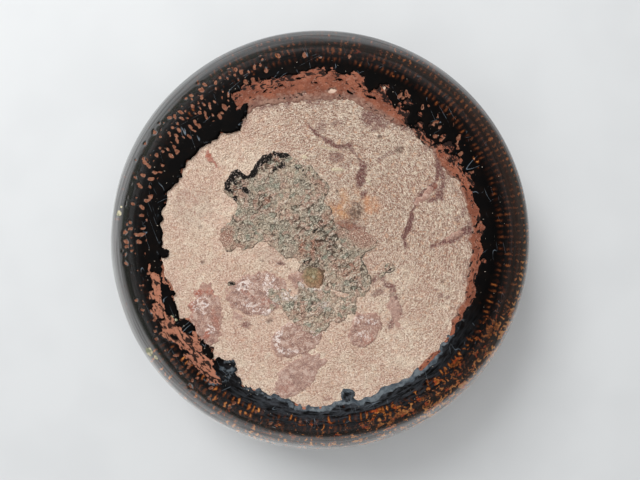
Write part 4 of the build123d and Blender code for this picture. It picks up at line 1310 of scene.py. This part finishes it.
# thin films of the ground left on the wood
patches = {
    "spacing": 0.5,
    "overEdge": 1.5, "grainHeight": 0.05, "paleHeight": 0.16, "sunkEdge": 0.35,
    # centre, half length, half width, turn, thickness, white flecks, red share
    "films": [
        (-46.8, -31.4, 12.0, 7.0, 92, 0.2, 0.35, 0.35), (-25.7, -22.4, 12.2, 9.0, 12, 0.24, 0.85, 0.1),
        (-9.0, -40.0, 11.5, 7.5, 25, 0.24, 0.6, 0.05), (-9.6, -56.0, 13.4, 6.2, 42, 0.14, 0.4, 0.05),
        (18.3, -37.0, 7.5, 6.3, 60, 0.24, 0.55, 0.2), (30.8, -28.0, 7.2, 2.0, 108, 0.1, 0.1, 0.1),
        (43.2, 18.4, 5.0, 1.4, 45, 0.18, 0.1, 0.6), (54.5, 1.0, 5.4, 1.0, 26, 0.18, 0.1, 0.3),
        (-9.2, -16.0, 4.8, 3.2, 65, 0.16, 0.3, 0.1), (-45.7, 35.0, 3.6, 1.1, -52, 0.3, 0, 1.0),
        (-33.5, -31.0, 2.6, 1.8, 20, 0.12, 0.1, 0),
    ],
    "red": [
        (-50.5, -22.0, 3.4, 2.0, 50, 1.0), (-44.2, -21.4, 3.0, 2.2, -30, 1.0), (-53, -27, 1.6, 5, 10, 0.7),
        (-46.5, -39.5, 2.6, 1.6, 60, 1.0), (-43.0, -33, 1.6, 5.5, 10, 0.6), (-14, -61, 5, 3.0, 35, 0.3),
        (20, -41, 4, 3, 20, 0.5), (-52, -37, 2, 3, 0, 0.5), (-30, -22, 4, 1.5, -40, 0.5),
        (-22, -25, 3, 2, 0, 0.4),
    ],
    "pale": [
        (-48.5, -27, 4.0, 6.0, 20, 0.8), (-16.5, -38.5, 2.2, 7.0, -15, 1), (-14, -34.5, 5.5, 1.8, 20, 1),
        (-13.5, -45.5, 6.0, 1.6, -5, 1), (-21, -19.5, 3.4, 5.5, 20, 1), (-31, -18.5, 5.0, 2.6, 30, 1),
        (-22, -30.0, 4.5, 2.2, 30, 1), (-2.5, -38.5, 3.2, 2.0, 20, 0.9), (-28, -27, 5, 3, -20, 0.8),
        (-45, -36, 3, 4, 0, 0.7), (15.5, -32.5, 4.2, 2.4, 40, 0.9), (20.5, -33.5, 3.0, 2.0, 0, 0.8),
        (18, -39, 4, 2, 0, 0.6), (-7.5, -19.5, 1.6, 2.4, 0, 0.8),
    ],
}


def patchFinish():
    # dull clay rubbed into the pores: mottled, pallid where it is thinnest, redder in places, with white
    # flecks, pale and dark grit, clouds of dust, and a paler edge
    f = Finish("stainedGround")
    place = f.millimetres()
    grit = f.noise(place, 0.5, 3, 0.7)
    mottle = f.noise(place, 1.4, 4, 0.65)
    cloud = f.noise(place, 2.3, 4, 0.65)
    pale, fleck = f.value("pale"), f.value("fleck")
    flecks = f.step(0.5, 0.58, f.noise(place, 1.15, 4, 0.7, 0.5) + 0.14 * (pale - 0.75))
    film = f.layers(
        f.blend(f.step(0.35, 0.65, mottle), colour(136, 100, 88), colour(170, 136, 120)),
        (f.value("pallid"), colour(182, 152, 140)),
        (f.value("red") * f.step(0.25, 0.55, mottle), colour(158, 88, 68)),
        (f.step(0.52, 0.68, grit) * 0.7, colour(204, 174, 156)),
        (f.step(0.46, 0.32, grit) * 0.65, colour(104, 70, 60)),
        (flecks * f.step(0.02, 0.5, pale + 0.35 * fleck), colour(226, 212, 206)),
        (f.step(0.55, 0.62, grit) * fleck, colour(224, 208, 197)),
        (f.step(0.44, 0.37, mottle) * fleck * 0.75, colour(104, 76, 68)),
        (f.step(0.5, 0.64, cloud) * 0.6, colour(200, 176, 162)),
        (f.step(0.48, 0.36, cloud) * 0.45, colour(128, 102, 94)),
        (f.step(0.9, 0.2, f.value("edge") + 0.8 * (mottle - 0.5)) * 0.4, colour(176, 138, 122)))
    return f.done(Base_Color=film, Roughness=0.78, Specular_IOR_Level=0.35,
                  Normal=f.bump(grit + mottle, 0.2, 0.8))


def makePatches():
    # a thin film over ovals with ragged outlines that stay inside the wood's edge: it fills part of the worn
    # face's relief, is a little thicker where it is pale, and dips below the wood past its outline
    p = patches
    x, y = flatGrid(-62, 64, -68, 40, p["spacing"])
    inside, owner = ovalDistance(x, y, p["films"])
    inside = inside + 1.7 * fractal(121, 3, x / 3.0, y / 3.0) + 0.8 * fractal(122, 2, x / 1.1, y / 1.1)
    edge = roundTable(worn["woodEdge"], np.degrees(np.arctan2(y, x)))
    inside = np.minimum(inside, edge + p["overEdge"] - np.hypot(x, y))
    thickness, fleck, share = np.moveaxis(np.array(p["films"])[owner], -1, 0)[5:]
    pale = spots(x, y, p["pale"], 0.5, 0.5, 124, 1.2)
    relief, _ = woodRelief(x, y)
    shown = smoothStep(-0.45, 0.4, inside)
    grain = p["grainHeight"] * fractal(123, 2, x / 1.2, y / 1.2)
    grain = grain + p["paleHeight"] * pale * smoothStep(0, 0.5, fractal(125, 3, x / 1.5, y / 1.5))
    top = woodLevel + relief * (1 - 0.35 * shown) - p["sunkEdge"] * (1 - shown) + (thickness + grain) * shown
    values = {
        "fleck": fleck,
        "pale": pale,
        "edge": inside,
        "pallid": 0.35 * smoothStep(0.17, 0.12, thickness),
        "red": np.maximum(spots(x, y, p["red"], 0.6, 0.6, 126), np.where(share > 0.9, 1.3, 0.15 * share)),
    }
    filmPiece("groundPatches", x, y, top, filmBottom, inside > -0.8, values, patchFinish(),
              "ground_patches")


def knotFinish():
    # grey-olive rings round a pale pith, crossed by short cracks that point at it, dark along the upper
    # right edge: the rings are a sine of the distance from the centre, the cracks one of the direction
    f = Finish("knotWood")
    place = f.millimetres()
    reach = f.value("reach")
    x, y, _ = f.split(place)
    across, down = x - knot["centre"][0], y - knot["centre"][1]
    waver = f.noise(place, 1.2, 3, 0.6)
    ring = f.maths("SINE", (reach * 1.9 + waver * 6.0) * 2.0)
    crack = f.maths("SINE", f.maths("ARCTAN2", down, across) * 11.0 + waver * 9.0)
    edge = f.step(3.1, 4.7, reach + waver * 0.8)
    wood = f.layers(
        f.blend(f.step(-0.8, 0.9, ring), colour(106, 92, 66), colour(148, 130, 98)),
        (f.step(0.45, 0.65, f.noise(place, 1.6, 3)) * 0.6, colour(152, 114, 82)),
        (f.step(-0.4, -3.9, down) * 0.5, colour(160, 112, 84)),
        (f.step(-0.4, 3.1, down) * 0.4, colour(118, 116, 92)),
        (f.step(0.6, 3.2, across + 3.0 * (waver - 0.5)) * 0.6, colour(154, 106, 80)),
        (f.step(0.2, 0.9, crack) * f.step(0.9, 2.0, reach) * 0.5, colour(100, 76, 50)),
        (edge * f.step(-1.5, 2.5, across + down) * 0.85, colour(66, 48, 36)),
        (edge * f.step(1.5, -2.5, across + down) * 0.7, colour(150, 120, 98)),
        (f.step(0.55, 0.7, f.noise(place, 0.5, 2, 0.7)) * 0.8, colour(182, 162, 126)),
        (f.step(0.46, 0.32, f.noise(place, 0.6, 2, 0.7)) * 0.8, colour(62, 48, 34)),
        (f.step(1.2, 0.5, reach + waver * 0.6) * 0.7, colour(164, 162, 144)))
    return f.done(Base_Color=wood, Roughness=0.7, Specular_IOR_Level=0.35,
                  Normal=f.bump(ring * 0.2 + waver, 0.2, 0.7))


def makeKnot():
    # a low dome in the crust's gap, with a sunk edge, that goes down into the wood
    cx, cy = knot["centre"]
    x, y = flatGrid(cx - 6, cx + 6, cy - 6, cy + 6, knot["spacing"])
    inside = knotInside(x, y)
    relief, _ = woodRelief(x, y)
    shown = smoothStep(-0.3, 0.3, inside)
    dome = 0.16 + 0.18 * smoothStep(0, 3, inside) - 0.1 * smoothStep(0.9, 0.1, inside)
    dome = dome + 0.05 * fractal(132, 3, x / 1.1, y / 1.1)
    top = woodLevel + (relief - knot["sunkEdge"]) * (1 - shown) + dome * shown
    filmPiece("baseKnot", x, y, top, woodLevel - knot["depth"], inside > -0.7,
              {"reach": np.hypot(x - cx, y - cy)}, knotFinish(), "base_knot")


makeBareWood()
makeKnot()
makeGroundCoat()
makeOuterLacquer()
makeLipBand()
makeInnerLacquer()
makeCrust()
makePatches()
print("bowl built")


# the floor, the light and the camera, in metres
studio = {
    "floorRings": (0.15, 0.3, 0.6, 1.1, 1.6), "floorSegments": 96,
    # the painted reflection turns from its near tones to its dark far ones between the two reaches given
    "paleReach": 0.22, "fadeReach": 0.6, "paintedReflectionReach": (0.21, 0.32),
    "keyPlace": (-0.48, 0.70, 0.85), "keySize": 0.55, "keyPower": 10.4,
    # grey levels of the soft light: how high they stand (0 straight down, 1 straight up), red, green, blue
    "sky": [(0.0, 0.28, 0.28, 0.28), (0.14, 0.15, 0.15, 0.15), (0.55, 0.16, 0.17, 0.18),
            (0.68, 1.0, 1.0, 1.0), (0.90, 1.0, 1.0, 1.0), (0.94, 0.12, 0.12, 0.12)],
    "skyStrength": 1.22, "skySide": (-0.55, 0.3, 0.0),
    "cameraHeight": 0.2707, "lens": 27.04, "sensor": 36.0, "clipStart": 0.01,
}


def makeFloor():
    # a flat disc: rings of points round the axis, pale near the bowl and greyer far off. Glossy rays see it
    # in other tones, a painted reflection in the lacquer
    f = Finish("paleFloor")
    place = f.add("TexCoord", {}, {}, "Object")
    x, y, _ = f.split(place)
    reach = ((x + 0.03) * (x + 0.03) + (y + 0.015) * (y + 0.015)) ** 0.5
    fade = f.step(studio["paleReach"], studio["fadeReach"], reach)
    tone = f.layers(
        f.blend(fade, colour(212, 214, 215), colour(150, 151, 150)),
        (f.step(0.4, 0.7, f.noise(place, 0.05, 2)) * 0.15, colour(188, 190, 192)))
    # painted reflection: glossy rays see the floor white near by, dark further off, and dark from nearer by
    # on the right, so that the lacquer shows these tones
    low, high = studio["paintedReflectionReach"]
    far = f.step(low, high, reach + 0.38 * x + 0.04 * y + 0.27 * (x * x - y * y) / reach)
    upper, left = f.step(-0.45, 1.05, (0.39 * x + 0.92 * y) / reach), f.step(0.0, -0.7, x / reach)
    near = f.blend(upper, colour(253, 255, 255), colour(180, 184, 186))
    paintedReflection = f.blend(far, near, f.blend(left, colour(88, 92, 88), colour(84, 94, 82)))
    glossy = f.add("LightPath", {}, {}, "Is Glossy Ray")
    finish = f.done(Base_Color=f.blend(glossy, tone, paintedReflection), Roughness=0.9)
    segments, reaches = studio["floorSegments"], np.array(studio["floorRings"])[:, None]
    angle = fullTurn(segments)
    points = np.stack(np.broadcast_arrays(reaches * np.cos(angle), reaches * np.sin(angle), 0.0), -1)
    i, j = np.arange(len(reaches) - 1)[:, None] * segments, np.arange(segments)[None, :]
    nextJ = (j + 1) % segments
    faces = np.stack([i + j, i + segments + j, i + segments + nextJ, i + nextJ], -1).reshape(-1, 4).tolist()
    mesh = bpy.data.meshes.new("paleFloor")
    mesh.from_pydata(points.reshape(-1, 3).tolist(), [], faces + [list(range(segments))])
    mesh.materials.append(finish)
    floor = bpy.data.objects.new("paleFloor", mesh)
    bpy.context.scene.collection.objects.link(floor)


def makeSky():
    # soft light from all round, dimmer near the horizon and a little brighter on the upper left: its strength
    # is a level plus the view direction's share along one side
    f = Finish("softStudio", "worlds")
    place = f.add("TexCoord", {}, {}, "Generated")
    stops = [(position, (*grey, 1)) for position, *grey in studio["sky"]]
    grey = f.add("ValToRGB", {"stops": stops}, {"Fac": f.split(place)[2]})
    side = f.add("VectorMath", {"operation": "DOT_PRODUCT"}, {0: place, 1: studio["skySide"]}, "Value")
    background = f.add("Background", {}, {"Color": grey, "Strength": side + studio["skyStrength"]})
    f.add("OutputWorld", {}, {"Surface": background})
    bpy.context.scene.world = f.block


def makeLight():
    # one round lamp that looks at the origin
    light = bpy.data.lights.new("softKey", "AREA")
    light.shape, light.size, light.energy = "DISK", studio["keySize"], studio["keyPower"]
    lamp = bpy.data.objects.new("softKey", light)
    bpy.context.scene.collection.objects.link(lamp)
    lamp.location = studio["keyPlace"]
    x, y, z = studio["keyPlace"]
    lamp.rotation_euler = (math.atan2(math.hypot(x, y), z), 0, math.atan2(y, x) + math.pi / 2)


def makeCamera():
    # straight above the foot, looking down
    camera = bpy.data.cameras.new("overheadCamera")
    camera.lens, camera.sensor_width = studio["lens"], studio["sensor"]
    camera.clip_start = studio["clipStart"]
    view = bpy.data.objects.new("overheadCamera", camera)
    bpy.context.scene.collection.objects.link(view)
    view.location = (0, 0, studio["cameraHeight"])
    bpy.context.scene.camera = view


makeFloor()
makeSky()
makeLight()
makeCamera()
bpy.context.scene.view_settings.view_transform = "Standard"
print("floor, light and camera set")
